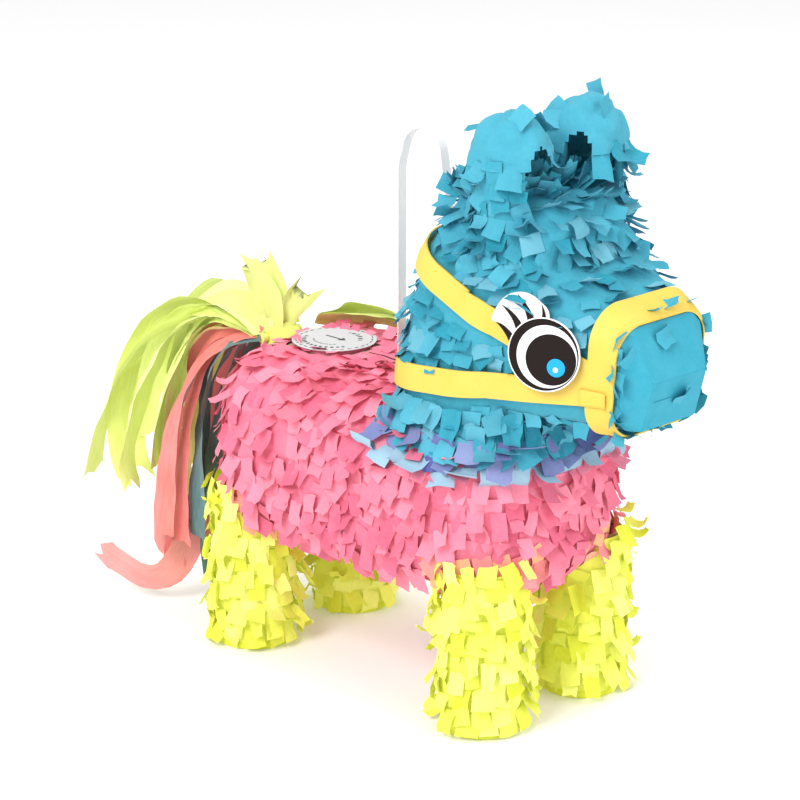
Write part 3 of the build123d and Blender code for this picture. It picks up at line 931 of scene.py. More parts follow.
class PINATA_OT_stage(Operator):
    """The floor, soft lights and the camera"""
    bl_idname = "pinata.stage"
    bl_label = "Stage"

    # Metres from the aim to the right, towards the camera and up; size in metres; power in watts
    LIGHTS = (
        ("key", -0.9, 1.5, 0.9, 1.0, 32),
        ("fill", 1.5, 0.9, 0.4, 1.4, 11),
        ("top", 0.0, -0.4, 1.8, 1.3, 9),
    )

    def execute(self, context):
        stage = context.scene.pinata_stage
        finish = Finish("stage_paper", 0.9, Specular_IOR_Level=0.1)
        finish.feed("Base Color", finish.mix((0.93, 0.93, 0.93), (0.95, 0.95, 0.95), finish.noise(3.0)))
        finish.shader.inputs["Emission Color"].default_value = (1.0, 1.0, 1.0, 1.0)
        finish.shader.inputs["Emission Strength"].default_value = 0.10
        bm = bmesh.new()
        bmesh.ops.create_grid(bm, x_segments=1, y_segments=1, size=6.0)
        mesh = bpy.data.meshes.new("floor")
        bm.to_mesh(mesh)
        bm.free()
        mesh.materials.append(finish.material)
        floor = bpy.data.objects.new("floor", mesh)
        context.scene.collection.objects.link(floor)
        back = Vector((sin(stage.azimuth) * cos(stage.elevation),
                       -cos(stage.azimuth) * cos(stage.elevation), sin(stage.elevation)))
        right = Vector((cos(stage.azimuth), sin(stage.azimuth), 0))
        up = back.cross(right)
        aim = Vector((LEG_MID.x, 0, stage.aim_height)) + right * stage.aim_right + up * stage.aim_up
        camera = bpy.data.objects.new("camera", bpy.data.cameras.new("camera"))
        camera.data.lens = stage.lens
        camera.data.clip_start = 0.05
        camera.location = aim + back * stage.distance
        camera.rotation_mode = "QUATERNION"
        camera.rotation_quaternion = (-back).to_track_quat("-Z", "Y")
        context.scene.collection.objects.link(camera)
        context.scene.camera = camera
        for name, aside, near, high, size, power in self.LIGHTS:
            self.light(name, aim + right * aside + back * near + UP * high, aim, size, power)
        world = bpy.data.worlds.new("studio")
        world.use_nodes = True
        world.node_tree.nodes["Background"].inputs["Color"].default_value = (1, 1, 1, 1)
        world.node_tree.nodes["Background"].inputs["Strength"].default_value = 0.80
        context.scene.world = world
        context.scene.view_settings.view_transform = "Standard"
        return {"FINISHED"}

    def light(self, name, place, aim, size, power):
        """A soft square light aimed at the object."""
        lamp = bpy.data.lights.new(name, "AREA")
        lamp.energy = power
        lamp.size = size
        light = bpy.data.objects.new(name, lamp)
        light.location = place
        light.rotation_mode = "QUATERNION"
        light.rotation_quaternion = (aim - place).to_track_quat("-Z", "Y")
        bpy.context.scene.collection.objects.link(light)


class PINATA_OT_nose(Operator):
    """The nose, wrapped smooth like a parcel"""
    bl_idname = "pinata.nose"
    bl_label = "Nose"

    # Angle from the nose's axis, turn round it, and length of each loose flap
    FLAPS = ((0.95, 1.35, 0.014), (1.0, 2.9, 0.012), (1.05, 4.9, 0.013), (0.8, -1.3, 0.012))

    def execute(self, context):
        colours = context.scene.pinata_colours
        wrap = wrap_finish("blue_wrap", colours.blue)
        low, high = box("nose_cap")
        seat = Vector((low.x - 0.010, 0, (low.z + high.z) / 2 + 0.002))
        piece_from(self.facets(), "nose_wrap_paper", [wrap], "root", "blue_wrap", ("nose_wrap",), False)
        flaps = TabField(91, tab_shapes(np.random.default_rng(90)))
        rng = np.random.default_rng(92)
        for polar, turn, length in self.FLAPS:
            direction = Vector((cos(polar), sin(polar) * cos(turn), sin(polar) * sin(turn)))
            spot, normal = cast(HEAD, seat, direction)
            flaps.add(spot + normal * PASTED, normal, Vector(rng.normal(0, 1, 3)), 0.011, length,
                      0.0, -0.1)
        for turn in np.linspace(0, tau, 30, endpoint=False):
            direction = Vector((0.05, cos(turn), sin(turn))).normalized()
            spot, normal = cast(HEAD, seat, direction)
            if sin(turn) > 0.6 and rng.random() < 0.6:
                continue
            forward = Vector((1.0, rng.normal(0, 0.3), rng.normal(-0.5, 0.4)))
            flaps.add(spot + normal * 0.0028, normal, forward, 0.010, rng.uniform(0.009, 0.015), 0.0,
                      rng.normal(-0.05, 0.12))
        piece_from_mesh(flaps.mesh("nose_wrap_flaps"), "nose_wrap_flaps", [wrap], "root", "blue_wrap")
        return {"FINISHED"}

    def facets(self):
        """Paper pulled flat from the muzzle's end to a small front that looks down, like a parcel."""
        cap = [v.co for v in frame["nodes"]["nose_cap"].data.vertices]
        skin, chamfer = PASTED, 0.008
        facing = Vector((cos(NOSE_LEAN), 0, -sin(NOSE_LEAN)))
        rise = Vector((sin(NOSE_LEAN), 0, cos(NOSE_LEAN)))
        reach, rear_x = max(v.dot(facing) for v in cap), min(v.x for v in cap)
        front = [v for v in cap if v.dot(facing) > reach - 0.0005]
        rear = [v for v in cap if v.x < rear_x + 0.0005]
        foot, top = min(v.dot(rise) for v in front) - skin, max(v.dot(rise) for v in front) + skin
        low_z, high_z = min(v.z for v in rear) - skin, max(v.z for v in rear) + skin
        half, breadth = max(v.y for v in front) + skin, max(v.y for v in rear) + skin
        bm = bmesh.new()
        for side in (-1, 1):
            for height in (foot, top):
                bm.verts.new(facing * (reach + skin) + rise * height + Vector((0, side * half, 0)))
            for x in (rear_x - 0.004, rear_x + 0.0012):
                for z, inward in ((low_z, chamfer), (high_z, -chamfer)):
                    bm.verts.new((x, side * breadth, z + inward))
                    bm.verts.new((x, side * (breadth - chamfer), z))
        bmesh.ops.convex_hull(bm, input=bm.verts)
        bm.normal_update()
        back = [f for f in bm.faces if abs(f.normal.x) > 0.99 and f.calc_center_median().x < rear_x]
        bmesh.ops.delete(bm, geom=back, context="FACES")
        folds = [e for e in bm.edges if not e.is_boundary and e.calc_face_angle(0.0) > radians(8)]
        bmesh.ops.bevel(bm, geom=folds, offset=0.0007, segments=2, affect="EDGES", clamp_overlap=True)
        bmesh.ops.recalc_face_normals(bm, faces=bm.faces)
        return bm


def crease(spot, normal, depth, scale=60.0):
    """A spot pushed by the sharp folds of wrapped paper."""
    near, far = noise.voronoi(spot * scale)[0][:2]
    fold = min(1.0, (far - near) * 3.0) - 0.5
    return spot + normal * depth * (fold + 0.7 * noise.noise(spot * scale * 0.7))


class PINATA_OT_ears(Operator):
    """Ears: a lined hood, a crumpled cap and tabs inside and out"""
    bl_idname = "pinata.ears"
    bl_label = "Ears"

    def execute(self, context):
        fringe = context.scene.pinata_fringe
        blue = finished("blue_tissue")
        shapes = tab_shapes(np.random.default_rng(fringe.seed + 60))
        for k, (name, side) in enumerate((("right", -1), ("left", 1))):
            low, high = box(f"{name}_ear_shell")
            self.radius = (high.y - low.y) / 2
            self.top = high.z
            self.axis = Vector((low.x + self.radius, (low.y + high.y) / 2, 0))
            self.facing = -side * radians(30)
            self.field = TabField(fringe.seed + 61 + k, shapes)
            self.tabs(fringe)
            mesh = self.field.mesh(f"{name}_ear_tissue", [self.hood(name), self.cap(name)])
            piece_from_mesh(mesh, f"{name}_ear_tissue", [blue], "root", "blue_tissue",
                            (f"{name}_ear_fringe",))
        return {"FINISHED"}

    def spot(self, turn, reach, height):
        """A place on a circle round the ear's axis, turned from the opening's middle."""
        angle = self.facing + turn
        return self.axis + Vector((cos(angle) * reach, sin(angle) * reach, height))

    def outward(self, turn):
        """Straight out from the axis."""
        angle = self.facing + turn
        return Vector((cos(angle), sin(angle), 0))

    def hood(self, name):
        """The tissue that lines the card hood on both faces and over its edges."""
        rows = []
        for height in np.linspace(self.top - HOOD_DEPTH, self.top - HOOD_TOP, 12):
            outer = [(turn, self.radius + 0.0014) for turn in np.linspace(HOOD_EDGE, tau - HOOD_EDGE, 30)]
            inner = [(turn, self.radius - 0.0029) for turn in np.linspace(tau - HOOD_EDGE, HOOD_EDGE, 26)]
            rows.append([crumple(self.spot(turn, reach, height), self.outward(turn), 0.0007, 150.0)
                         for turn, reach in outer + inner])
        return wrap_skin(f"{name}_ear_hood", rows, 0.45, None, False)

    def cap(self, name):
        """The crumpled paper over the ear's top."""
        rows = []
        for share in np.linspace(0, 1, 22):
            swell = sin(share * pi / 2)
            reach = (self.radius + 0.0034) * cos(share * pi / 2) + 0.0004
            height = self.top - CAP_DEPTH + (CAP_DEPTH + 0.0022) * swell
            ring = []
            for turn in np.linspace(0, tau, 66, endpoint=False):
                out = (self.outward(turn) * cos(share * 1.4) + UP * sin(share * 1.4)).normalized()
                depth = 0.0024 if share < 0.9 else 0.0008
                ring.append(crease(self.spot(turn, reach, height), out, depth, 50.0))
            rows.append(ring)
        return wrap_skin(f"{name}_ear_cap", rows, 0.6, self.capped, False)

    def capped(self, spot):
        """Whether the cap covers a place: it is cut to an arch over the opening."""
        flat = (spot - self.axis).xy
        turn = (np.arctan2(flat.y, flat.x) - self.facing + pi) % tau - pi
        return abs(turn) > OPENING or spot.z > self.top - CAP_DEPTH + self.arch(turn)

    def arch(self, turn):
        """How far the opening's edge rises: most at its inner side, where nothing hangs over it."""
        return 0.012 * max(0.0, 1 - ((turn + radians(30)) / radians(20)) ** 2) ** 0.5

    def tabs(self, fringe):
        """Rows outside, inside and under the cap's hem, and a few loose ends on the cap."""
        rng = self.field.rng
        width = fringe.tab_width
        for level in np.arange(0.030, 0.070, 0.0078):
            for turn in np.arange(radians(58), radians(302), width * 0.95 / self.radius):
                normal = self.outward(turn)
                spot = self.spot(turn, self.radius + 0.0018, self.top - level)
                down = swung(rng, 0.3, normal, -UP)
                self.field.add(spot, normal, down, width * rng.uniform(0.85, 1.15),
                               fringe.tab_length * rng.uniform(0.7, 1.0), 0.0, rng.normal(0.0, 0.15))
        for level in (0.034, 0.043, 0.052, 0.061):
            for turn in np.arange(radians(85), radians(275), width * 1.05 / self.radius):
                normal = -self.outward(turn)
                spot = self.spot(turn, self.radius - 0.0034, self.top - level)
                down = swung(rng, 0.25, normal, -UP)
                self.field.add(spot, normal, down, width * rng.uniform(0.8, 1.05),
                               fringe.tab_length * rng.uniform(0.6, 0.85), 0.0, rng.normal(-0.1, 0.12))
        for turn in np.arange(-pi, pi, width * 0.85 / self.radius):
            normal = self.outward(turn)
            if self.arch(turn) > 0.004:
                continue
            spot = self.spot(turn, self.radius + 0.0030, self.top - 0.0225 + rng.normal(0, 0.0016))
            down = swung(rng, 0.14, normal, -UP)
            self.field.add(spot, normal, down, width * rng.uniform(0.9, 1.2),
                           fringe.tab_length * rng.uniform(1.0, 1.4), 0.0, rng.normal(0.0, 0.12) - 0.05)
        for _ in range(4):
            turn, share = rng.random() * tau, rng.uniform(0.25, 0.7)
            normal = (self.outward(turn) * cos(share * 1.4) + UP * sin(share * 1.4)).normalized()
            spot = self.spot(turn, self.radius * cos(share * pi / 2),
                             self.top - CAP_DEPTH + 0.029 * sin(share * pi / 2))
            self.field.add(spot + normal * 0.001, normal, Vector(rng.normal(0, 1, 3)), width * 1.1,
                           fringe.tab_length * rng.uniform(0.7, 1.1), 0.0, -rng.uniform(0.0, 0.5))


class PINATA_OT_eyes(Operator):
    """Printed card eyes: layered ovals and curved lashes"""
    bl_idname = "pinata.eyes"
    bl_label = "Eyes"

    # Centre forward and up, half widths, and height of each printed layer, in millimetres
    LAYERS = (
        ("eye_white", 0.0, 0.0, 22.2, 20.6, 0.90),
        ("eye_black", 0.0, 0.0, 21.5, 19.9, 0.98),
        ("eye_white", 2.1, -0.8, 18.7, 17.4, 1.06),
        ("eye_black", 4.7, -2.2, 15.6, 14.2, 1.14),
        ("eye_blue", 8.2, -6.2, 5.6, 5.1, 1.22),
        ("eye_white", 8.0, -7.4, 1.6, 1.5, 1.30),
    )
    BACKING = ((-33.5, 15.0), (-31.0, 22.5), (-26.3, 28.7), (-19.8, 32.0), (-12.2, 32.4), (-4.4, 28.9),
               (1.5, 22.5), (0.0, 8.0), (-16.0, 4.0), (-22.5, 10.5), (-27.0, 13.2))
    # Root, bend and tip of each lash, and its width at the root
    LASHES = (
        ((-20.0, 5.5), (-25.0, 12.0), (-31.0, 14.0), 4.6),
        ((-15.5, 11.5), (-19.0, 19.5), (-28.2, 24.0), 5.2),
        ((-8.5, 15.5), (-11.0, 24.0), (-19.0, 31.4), 5.0),
        ((-1.5, 17.5), (-1.0, 23.0), (-3.6, 27.6), 3.4),
    )

    def execute(self, context):
        finishes = {
            "eye_white": print_finish("eye_white", (0.86, 0.86, 0.88), 0.4),
            "eye_black": print_finish("eye_black", (0.012, 0.007, 0.006), 0.35, 0.004),
            "eye_blue": print_finish("eye_blue", (0.0, 0.36, 0.72), 0.35),
            "lash_paper": print_finish("lash_paper", (0.74, 0.75, 0.77), 0.5),
        }
        order = list(finishes)
        for name, side in (("right", -1), ("left", 1)):
            self.find_plane(f"{name}_eye_sticker", side)
            bm = bmesh.new()
            self.sheet(bm, self.smooth(self.BACKING), 0.0, 0.55, order.index("lash_paper"))
            for lash in self.LASHES:
                self.sheet(bm, self.lash(*lash), 0.5, 0.72, order.index("eye_black"))
            for label, forward, up, half, rise, height in self.LAYERS:
                outline = [(forward + half * cos(turn), up + rise * sin(turn))
                           for turn in np.linspace(0, tau, 48, endpoint=False)]
                self.sheet(bm, outline, 0.0, height, order.index(label))
            piece = piece_from(bm, f"{name}_eye", list(finishes.values()), "root", "eye_print",
                               (f"{name}_eye_sticker",), False)
            piece.modifiers.new("edge", "BEVEL").width = 0.00012
        return {"FINISHED"}

    def find_plane(self, node, side):
        """The sticker's face: its normal, its forward and up directions and its middle."""
        mesh = frame["nodes"][node].data
        total = Vector()
        for face in mesh.polygons:
            if face.normal.y * side > 0.8:
                total += face.normal * face.area
        self.normal = total.normalized()
        self.forward = Vector((-self.normal.y, self.normal.x, 0)).normalized() * -side
        self.forward = self.forward if self.forward.x > 0 else -self.forward
        self.up = self.normal.cross(self.forward)
        self.up = self.up if self.up.z > 0 else -self.up
        spots = [v.co for v in mesh.vertices]
        front = max(spot.dot(self.forward) for spot in spots)
        foot = min(spot.dot(self.up) for spot in spots)
        face = min(spot.dot(self.normal) for spot in spots)
        self.middle = (self.forward * (front - 0.0222) + self.up * (foot + 0.0206) + self.normal * face)

    def place(self, forward, up, height):
        """A place on the sticker."""
        return self.middle + (self.forward * forward + self.up * up + self.normal * height) * MM

    def sheet(self, bm, outline, low, high, index):
        """A flat printed layer from one height to another."""
        verts = [bm.verts.new(self.place(x, z, low)) for x, z in outline]
        face = bm.faces.new(verts)
        raised = bmesh.ops.extrude_face_region(bm, geom=[face])["geom"]
        moved = [item for item in raised if isinstance(item, bmesh.types.BMVert)]
        bmesh.ops.translate(bm, vec=self.normal * (high - low) * MM, verts=moved)
        made = {f for v in moved + verts for f in v.link_faces}
        for f in made:
            f.material_index = index
        bmesh.ops.recalc_face_normals(bm, faces=list(made))

    def smooth(self, points, count=6):
        """A closed outline rounded through its points."""
        spots = [Vector((x, z, 0)) for x, z in points]
        outline = []
        for k, here in enumerate(spots):
            before, after = spots[k - 1], spots[(k + 1) % len(spots)]
            beyond = spots[(k + 2) % len(spots)]
            for step in range(count):
                share = step / count
                tangent_a, tangent_b = (after - before) * 0.5, (beyond - here) * 0.5
                h = share * share * (3 - 2 * share)
                outline.append((here.lerp(after, h) + tangent_a * (share - 2 * share ** 2 + share ** 3)
                                + tangent_b * (share ** 3 - share ** 2))[:2])
        return outline

    def lash(self, root, bend, tip, width):
        """A curved lash, wide at its root and pointed at its tip."""
        root, bend, tip = Vector(root), Vector(bend), Vector(tip)
        left, right = [], []
        for share in np.linspace(0, 1, 9):
            spot = root.lerp(bend, share).lerp(bend.lerp(tip, share), share)
            along = (bend - root).lerp(tip - bend, share).normalized()
            reach = width / 2 * (1 - share) ** 0.8
            if share == 1:
                left.append(spot[:])
                continue
            left.append((spot + along.orthogonal() * reach)[:])
            right.append((spot - along.orthogonal() * reach)[:])
        return left + right[::-1]


class PINATA_OT_hatch(Operator):
    """Marks on the fill disc, and the tissue under it"""
    bl_idname = "pinata.hatch"
    bl_label = "Fill Hatch"

    # Rows of plain bars: inner and outer reach in millimetres, start, end and step in degrees, and
    # the share of each step that is inked
    BARS = (
        (17.4, 19.6, 200, 335, 11, 0.55),
        (12.0, 13.2, 215, 320, 7, 0.6),
        (14.5, 17.5, 30, 100, 14, 0.5),
    )

    def execute(self, context):
        fringe = context.scene.pinata_fringe
        pink = finished("pink_tissue")
        self.disc()
        rng = np.random.default_rng(fringe.seed + 80)
        field = TabField(fringe.seed + 81, tab_shapes(rng))
        low, high = box("flap_tissue")
        reach = (high.y - low.y) / 2
        for turn in np.arange(0, tau, 0.30):
            out = Vector((cos(turn), sin(turn), 0))
            if out.x > 0.72:
                continue
            spot = HATCH * 1.0 + out * (reach - 0.004)
            spot.z = high.z - 0.0010
            field.add(spot, UP, out, 0.0085, 0.0088 * rng.uniform(0.8, 1.05), 0.0,
                      0.10 + 0.05 * rng.random())
        bm = bmesh.new()
        bmesh.ops.create_cone(bm, cap_ends=True, segments=40, radius1=reach, radius2=reach,
                              depth=high.z - low.z - 0.0004)
        bmesh.ops.translate(bm, vec=(HATCH.x, HATCH.y, (low.z + high.z) / 2), verts=bm.verts)
        layer = bm.verts.layers.float_color.new("tab")
        for v in bm.verts:
            v[layer] = (0.4, 0, 0, 1)
        pad = bpy.data.meshes.new("flap_pad")
        bm.to_mesh(pad)
        bm.free()
        piece_from_mesh(field.mesh("flap_tissue_tabs", [pad]), "flap_tissue_tabs", [pink], "fill_flap",
                        "pink_tissue", ("flap_tissue",), False)
        return {"FINISHED"}

    def disc(self):
        """The printed disc: slightly curled paper with a dashed ring, an arrow and plain bars."""
        paper = print_finish("disc_paper", (0.62, 0.62, 0.63), 0.6, 0.08)
        ink = print_finish("disc_ink", (0.06, 0.06, 0.06), 0.6, 0.02)
        bm = bmesh.new()
        bmesh.ops.create_grid(bm, x_segments=96, y_segments=96, size=HATCH_RADIUS)
        for v in bm.verts:
            v.co.xy = self.round(v.co.x / HATCH_RADIUS, v.co.y / HATCH_RADIUS)
        for face in bm.faces:
            face.material_index = 1 if self.inked(face.calc_center_median()) else 0
        top = box("fill_disc")[1].z
        bmesh.ops.solidify(bm, geom=list(bm.faces), thickness=-0.00035)
        for v in bm.verts:
            v.co.z += self.curl(v.co)
        bmesh.ops.translate(bm, vec=(HATCH.x, HATCH.y, top), verts=bm.verts)
        bmesh.ops.recalc_face_normals(bm, faces=bm.faces)
        piece_from(bm, "fill_disc_paper", [paper, ink], "fill_flap", "disc_print", ("fill_disc",))

    def round(self, x, y):
        """A square's point moved onto a disc."""
        return Vector((x * (1 - y * y / 2) ** 0.5, y * (1 - x * x / 2) ** 0.5)) * HATCH_RADIUS

    def curl(self, spot):
        """How far the paper lifts or dips."""
        out = spot.xy.length / HATCH_RADIUS
        wave = noise.noise(Vector((spot.x, spot.y, 0)) * 40.0)
        return 0.0004 + out ** 3 * (0.0009 * wave - 0.0002)

    def inked(self, spot):
        """Whether the print covers this place."""
        reach, turn = spot.xy.length * 1000, np.arctan2(spot.y, spot.x)
        if 23.0 < reach < 23.8:
            return (turn * 180 / pi) % 12 < 7
        degrees_round = (turn * 180 / pi) % 360
        for low, high, start, end, step, share in self.BARS:
            if low < reach < high and start < degrees_round < end:
                return degrees_round % step < step * share
        along, across_run = spot.x * 1000, spot.y * 1000
        shaft = -9 < along < 3 and abs(across_run - 2) < 0.8
        head = 3 <= along < 8 and abs(across_run - 2) < (8 - along) * 0.7
        return shaft or head


class PINATA_OT_halter_fold(Operator):
    """The cheek strap's end, pasted over the noseband"""
    bl_idname = "pinata.halter_fold"
    bl_label = "Halter Fold"

    def execute(self, context):
        paper = finished("halter_paper")
        straps = card_tree(("noseband_strap", "throat_strap"))
        strap_high = box("throat_strap")[1]
        spots = [v.co for v in frame["nodes"]["throat_strap"].data.vertices]
        edge = [spot for spot in spots if spot.x > strap_high.x - 0.0006]
        foot, top = min(v.z for v in edge), max(v.z for v in edge)
        run, rows, columns = 0.0155, 6, 10
        for name, side in (("right", -1), ("left", 1)):
            bm = bmesh.new()
            bmesh.ops.create_grid(bm, x_segments=columns, y_segments=rows, size=0.5)
            for v in bm.verts:
                share, rise = v.co.x + 0.5, v.co.y + 0.5
                x = strap_high.x - 0.003 + run * share
                z = foot + (top - foot) * rise + 0.0012 * share * (0.5 - rise)
                start = Vector((x, side * 0.09, z))
                spot = straps.ray_cast(start, Vector((0, -side, 0)), 0.09)[0]
                y = spot.y if spot else side * 0.04
                lift = 0.0009 + 0.0012 * max(0.0, share - 0.8) / 0.2
                v.co = (x, y + side * lift, z)
            bmesh.ops.recalc_face_normals(bm, faces=bm.faces)
            piece = piece_from(bm, f"{name}_halter_fold", [paper], "root", "strap_yellow")
            solid = piece.modifiers.new("thickness", "SOLIDIFY")
            solid.thickness = 0.0006
            solid.offset = 0.0
        return {"FINISHED"}


class Bunch:
    """Collects crepe ribbons and writes them as one sheet."""

    def __init__(self, name, seed):
        self.name = name
        self.rng = np.random.default_rng(seed)
        self.bm = bmesh.new()
        self.strip = self.bm.loops.layers.uv.new("strip")
        self.tone = self.bm.verts.layers.float_color.new("tab")
        self.area = 0.0
        self.longest = 0.0
        self.breadth = 0.0

    def ribbon(self, route, width, facing, twist, ruffle=0.0022, notch=0.004, segments=30):
        """One ribbon along a smooth route, its breadth turning from a facing direction by a twist."""
        spots = self.run(route, segments)
        bm, tone = self.bm, self.rng.random()
        made = bmesh.ops.create_grid(bm, x_segments=4, y_segments=segments, size=0.5)["verts"]
        lengths = np.concatenate(([0], np.cumsum([(b - a).length for a, b in zip(spots, spots[1:])])))
        phase = self.rng.random() * 50
        side = Vector(facing).normalized()
        sides = []
        for k, spot in enumerate(spots):
            along = (spots[min(k + 1, segments)] - spots[max(k - 1, 0)]).normalized()
            side = (side - along * side.dot(along)).normalized()
            turned = Matrix.Rotation(twist * k / segments, 3, along) @ side
            sides.append((turned, along.cross(turned)))
        ends = self.rng.normal(0, notch, 5)
        across_place = {}
        for v in made:
            row, column = round((v.co.y + 0.5) * segments), round((v.co.x + 0.5) * 4)
            share = column / 4 - 0.5
            turned, out = sides[row]
            spread = width * (0.45 + 0.55 * min(1.0, lengths[row] / 0.02))
            lift = ruffle * noise.noise(Vector((column * 0.9, lengths[row] * 55, phase)))
            lift += ruffle * 1.4 * cos(share * 5 + phase) * sin(lengths[row] * 40 + phase)
            v.co = spots[row] + turned * share * spread + out * lift
            if row == segments:
                v.co += (spots[-1] - spots[-2]).normalized() * ends[column]
            across_place[v] = (share * width, lengths[row])
            v[self.tone] = (tone, 0, 0, 1)
        for face in {f for v in made for f in v.link_faces}:
            for loop in face.loops:
                loop[self.strip].uv = across_place[loop.vert]
        self.area += width * lengths[-1]
        self.longest = max(self.longest, lengths[-1])
        self.breadth += width

    def run(self, route, segments):
        """Even steps along a smooth curve whose control points are the route."""
        spots = [Vector(point) for point in route]
        degree = len(spots) - 1
        fine = []
        for share in np.linspace(0, 1, 4 * segments + 1):
            level = spots
            for _ in range(degree):
                level = [a.lerp(b, share) for a, b in zip(level, level[1:])]
            fine.append(level[0])
        steps = np.concatenate(([0], np.cumsum([(b - a).length for a, b in zip(fine, fine[1:])])))
        even = np.linspace(0, steps[-1], segments + 1)
        along = [np.interp(even, steps, [spot[axis] for spot in fine]) for axis in range(3)]
        return [Vector(spot) for spot in np.transpose(along).tolist()]

    def finish(self, material, body, slot, hides, held):
        """Writes the ribbons as one piece and hides the nodes they replace."""
        bmesh.ops.recalc_face_normals(self.bm, faces=self.bm.faces)
        piece = piece_from(self.bm, self.name, [material], body, slot, hides)
        return piece


class PINATA_OT_tail(Operator):
    """The tail's bunches of crepe streamers"""
    bl_idname = "pinata.tail"
    bl_label = "Tail"

    def execute(self, context):
        tail, colours = context.scene.pinata_tail, context.scene.pinata_colours
        # the yellow and coral crepe take a painted glow, 0.10 and 0.05: the paper gives off its own colour
        yellow = crepe_finish("yellow_crepe", colours.streamer, 0.10)
        coral = crepe_finish("coral_crepe", colours.coral, 0.05)
        teal = crepe_finish("teal_crepe", colours.teal)
        self.rng = np.random.default_rng(context.scene.pinata_fringe.seed + 100)
        width = tail.ribbon_width
        bunch = Bunch("tail_yellow_ribbons", 1)
        for k in range(tail.yellow_count):
            share = (k + 0.5) / tail.yellow_count
            self.falling(bunch, width * self.rng.uniform(0.8, 1.4), reach=self.rng.uniform(48, 112),
                         drop=self.rng.uniform(70, 140), side=-42 + 56 * share,
                         rise=self.rng.uniform(14, 32))
        self.upright_tips(bunch, width)
        bunch.finish(yellow, "tail", "streamer_yellow", ("tail_yellow_streamers",), "hung")
        bunch = Bunch("tail_coral_ribbons", 2)
        for k in range(tail.coral_count):
            share = (k + 0.5) / tail.coral_count
            self.falling(bunch, width * self.rng.uniform(0.6, 1.0), reach=self.rng.uniform(28, 74),
                         drop=self.rng.uniform(120, 168), side=-48 + 56 * share,
                         rise=self.rng.uniform(-2, 10))
        self.floor_end(bunch, width)
        bunch.finish(coral, "tail", "streamer_coral", ("tail_coral_streamers",), "hung")
        bunch = Bunch("tail_teal_ribbons", 3)
        for k in range(tail.teal_count):
            share = (k + 0.5) / tail.teal_count
            self.falling(bunch, width * self.rng.uniform(0.8, 1.3), reach=self.rng.uniform(20, 32),
                         drop=self.rng.uniform(110, 165), side=-34 + 40 * share, rise=-4)
        bunch.finish(teal, "tail", "streamer_teal", ("tail_teal_streamers",), "hung")
        for name, material in (("tail_knot", yellow), ("tail_anchor", yellow)):
            node = frame["nodes"][name]
            node.data.materials.clear()
            node.data.materials.append(strap_or(material))
        return {"FINISHED"}

    def falling(self, bunch, width, reach, drop, side, rise):
        """A ribbon that leaves the knot upwards and backwards and then falls; millimetres."""
        rng = self.rng
        start = KNOT + Vector((-2, np.clip(side, -14, 14), 2)) * MM
        jitter = rng.normal(0, 4, (4, 3))
        route = [
            start,
            start + Vector((-10 - reach * 0.2, side * 0.3, rise)) * MM,
            start + Vector((-reach * 0.72 - 6, side * 0.7, rise * 0.9)) * MM,
            start + Vector((-reach * 0.98, side * 1.0, -drop * 0.35)) * MM,
            start + Vector((-reach * 1.0, side * 1.05, -drop * 0.75)) * MM,
            start + Vector((-reach * rng.uniform(0.85, 1.1), side * 1.1, -drop)) * MM,
        ]
        for k in range(1, 5):
            route[k] = route[k] + Vector(jitter[k - 1]) * MM
        route[-1].z = max(route[-1].z, 0.004)
        bunch.ribbon(route, width, (rng.normal(0, 0.3), 1.0, rng.normal(0, 0.3)), rng.normal(0, 0.7))

    def upright_tips(self, bunch, width):
        """Two short ends that stand up from the knot."""
        for tip, lean in (((-18, -6, 42), 0.5), ((-34, 10, 34), -0.4), ((4, 12, 22), 0.2)):
            start = KNOT + Vector((-1, tip[1] * 0.5, 3)) * MM
            bunch.ribbon([start, start + Vector((tip[0] * 0.2, 0, tip[2] * 0.5)) * MM,
                          start + Vector(tip) * MM], width * 0.85, (0.5, 1.0, 0.0), lean)

    def floor_end(self, bunch, width):
        """The long coral ribbon whose end lies on the floor."""
        start = KNOT + Vector((-3, -6, -6)) * MM
        floor = -KNOT.z * 1000
        bunch.ribbon([start, start + Vector((-34, -14, -30)) * MM,
                      start + Vector((-40, -26, floor * 0.55)) * MM,
                      start + Vector((-38, -34, floor + 2)) * MM,
                      Vector((start.x - 0.060, start.y - 0.046, 0.006)),
                      Vector((start.x - 0.098, start.y - 0.058, 0.030))], width * 0.95, (0.3, 1, 0.2), 0.9)


def strap_or(material):
    """The same crepe without its strip map, for plain nodes."""
    name = material.name + "_plain"
    if name + FINISHED in bpy.data.materials:
        return finished(name)
    colour = bpy.context.scene.pinata_colours.streamer
    return strap_finish(name, colour)


class PINATA_OT_back_streamers(Operator):
    """Yellow streamers lying forward over the far side of the back"""
    bl_idname = "pinata.back_streamers"
    bl_label = "Back Streamers"

    def execute(self, context):
        yellow = finished("yellow_crepe")
        width = context.scene.pinata_tail.ribbon_width
        bunch = Bunch("back_ribbons", 5)
        low, high = box("back_streamers")
        rng = bunch.rng
        for k, (y, start, end, bow) in enumerate(((0.32, 0.0, 0.94, 1.0), (0.58, 0.0, 1.0, 1.5),
                                                  (0.45, 0.0, 0.66, 2.5))):
            across_y = low.y + (high.y - low.y) * y
            route = []
            for share in np.linspace(start, end, 6):
                x = low.x + (high.x - low.x) * share
                above = Vector((x, across_y, box("back_panel")[1].z + 0.004))
                spot, normal = TORSO.find_nearest(above)[:2]
                lift = 10.0 + bow * sin(pi * (share - start) / (end - start)) + 0.8 * k
                route.append(spot + normal * lift * MM + Vector((0, rng.normal(0, 0.003), 0)))
            route[0] = route[0].lerp(KNOT + Vector((0.008, 0.016, 0.012)), 0.6)
            bunch.ribbon(route, width * rng.uniform(1.1, 1.4), (0, 1, -0.3), rng.normal(0, 0.12),
                         0.0015)
        bunch.finish(yellow, "root", "streamer_yellow", ("back_streamers",), "laid")
        return {"FINISHED"}


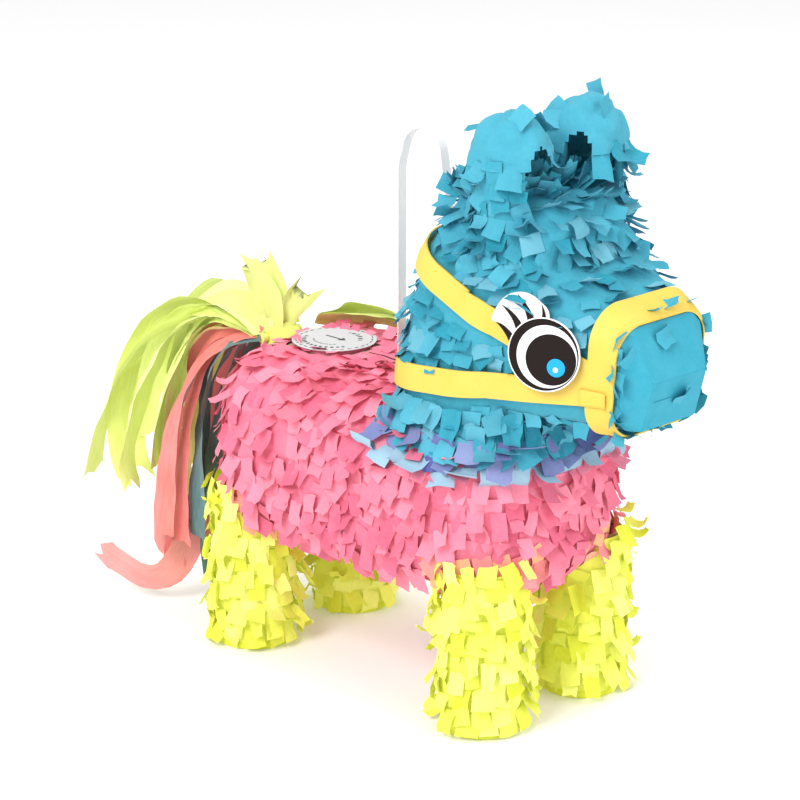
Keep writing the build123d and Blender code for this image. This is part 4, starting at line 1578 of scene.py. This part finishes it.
class PINATA_OT_finishes(Operator):
    """Card, straps, plastic and wood on the nodes that keep their shape"""
    bl_idname = "pinata.finishes"
    bl_label = "Finishes"

    def execute(self, context):
        colours = context.scene.pinata_colours
        made = {
            "card": card_finish("bare_card", colours.card),
            "stick": wood_finish("pale_stick"),
            "loop_plastic": plastic_finish("milky_plastic"),
            "strap_yellow": strap_finish("halter_paper", colours.halter),
            "tape": strap_finish("paper_tape", (0.62, 0.52, 0.36)),
        }
        slots = {part["node"]: part["material_slot"] for part in frame["record"]["subparts"]}
        for name, node in frame["nodes"].items():
            material = made.get(slots.get(name))
            if material:
                node.data.materials.clear()
                node.data.materials.append(material)
        return {"FINISHED"}


class PINATA_PT_panel(Panel):
    """Lists the pieces in the 3D view's sidebar"""
    bl_label = "Donkey Pinata"
    bl_idname = "PINATA_PT_panel"
    bl_space_type = "VIEW_3D"
    bl_region_type = "UI"
    bl_category = "Pinata"

    def draw(self, context):
        for name in GROUPS:
            box = self.layout.box()
            group = getattr(context.scene, name)
            for key in group.bl_rna.properties.keys():
                if key not in ("rna_type", "name"):
                    box.prop(group, key)
        for operator in STEPS:
            self.layout.operator(operator.bl_idname)


GROUPS = {
    "pinata_fringe": PINATA_PG_fringe,
    "pinata_colours": PINATA_PG_colours,
    "pinata_tail": PINATA_PG_tail,
    "pinata_stage": PINATA_PG_stage,
}
STEPS = (
    PINATA_OT_stage,
    PINATA_OT_finishes,
    PINATA_OT_body_fringe,
    PINATA_OT_head_fringe,
    PINATA_OT_ruffle,
    PINATA_OT_leg_fringe,
    PINATA_OT_nose,
    PINATA_OT_ears,
    PINATA_OT_eyes,
    PINATA_OT_hatch,
    PINATA_OT_halter_fold,
    PINATA_OT_tail,
    PINATA_OT_back_streamers,
)


def register():
    """Adds the classes and the scene's settings."""
    for cls in (*GROUPS.values(), *STEPS, PINATA_PT_panel):
        bpy.utils.register_class(cls)
    for name, group in GROUPS.items():
        setattr(bpy.types.Scene, name, PointerProperty(type=group))


def unregister():
    """Takes them away again."""
    for name in GROUPS:
        delattr(bpy.types.Scene, name)
    for cls in reversed((*GROUPS.values(), *STEPS, PINATA_PT_panel)):
        bpy.utils.unregister_class(cls)


def main():
    """Makes every piece in order."""
    register()
    for step in STEPS:
        group, name = step.bl_idname.split(".")
        getattr(getattr(bpy.ops, group), name)()


if __name__ == "__main__":
    main()
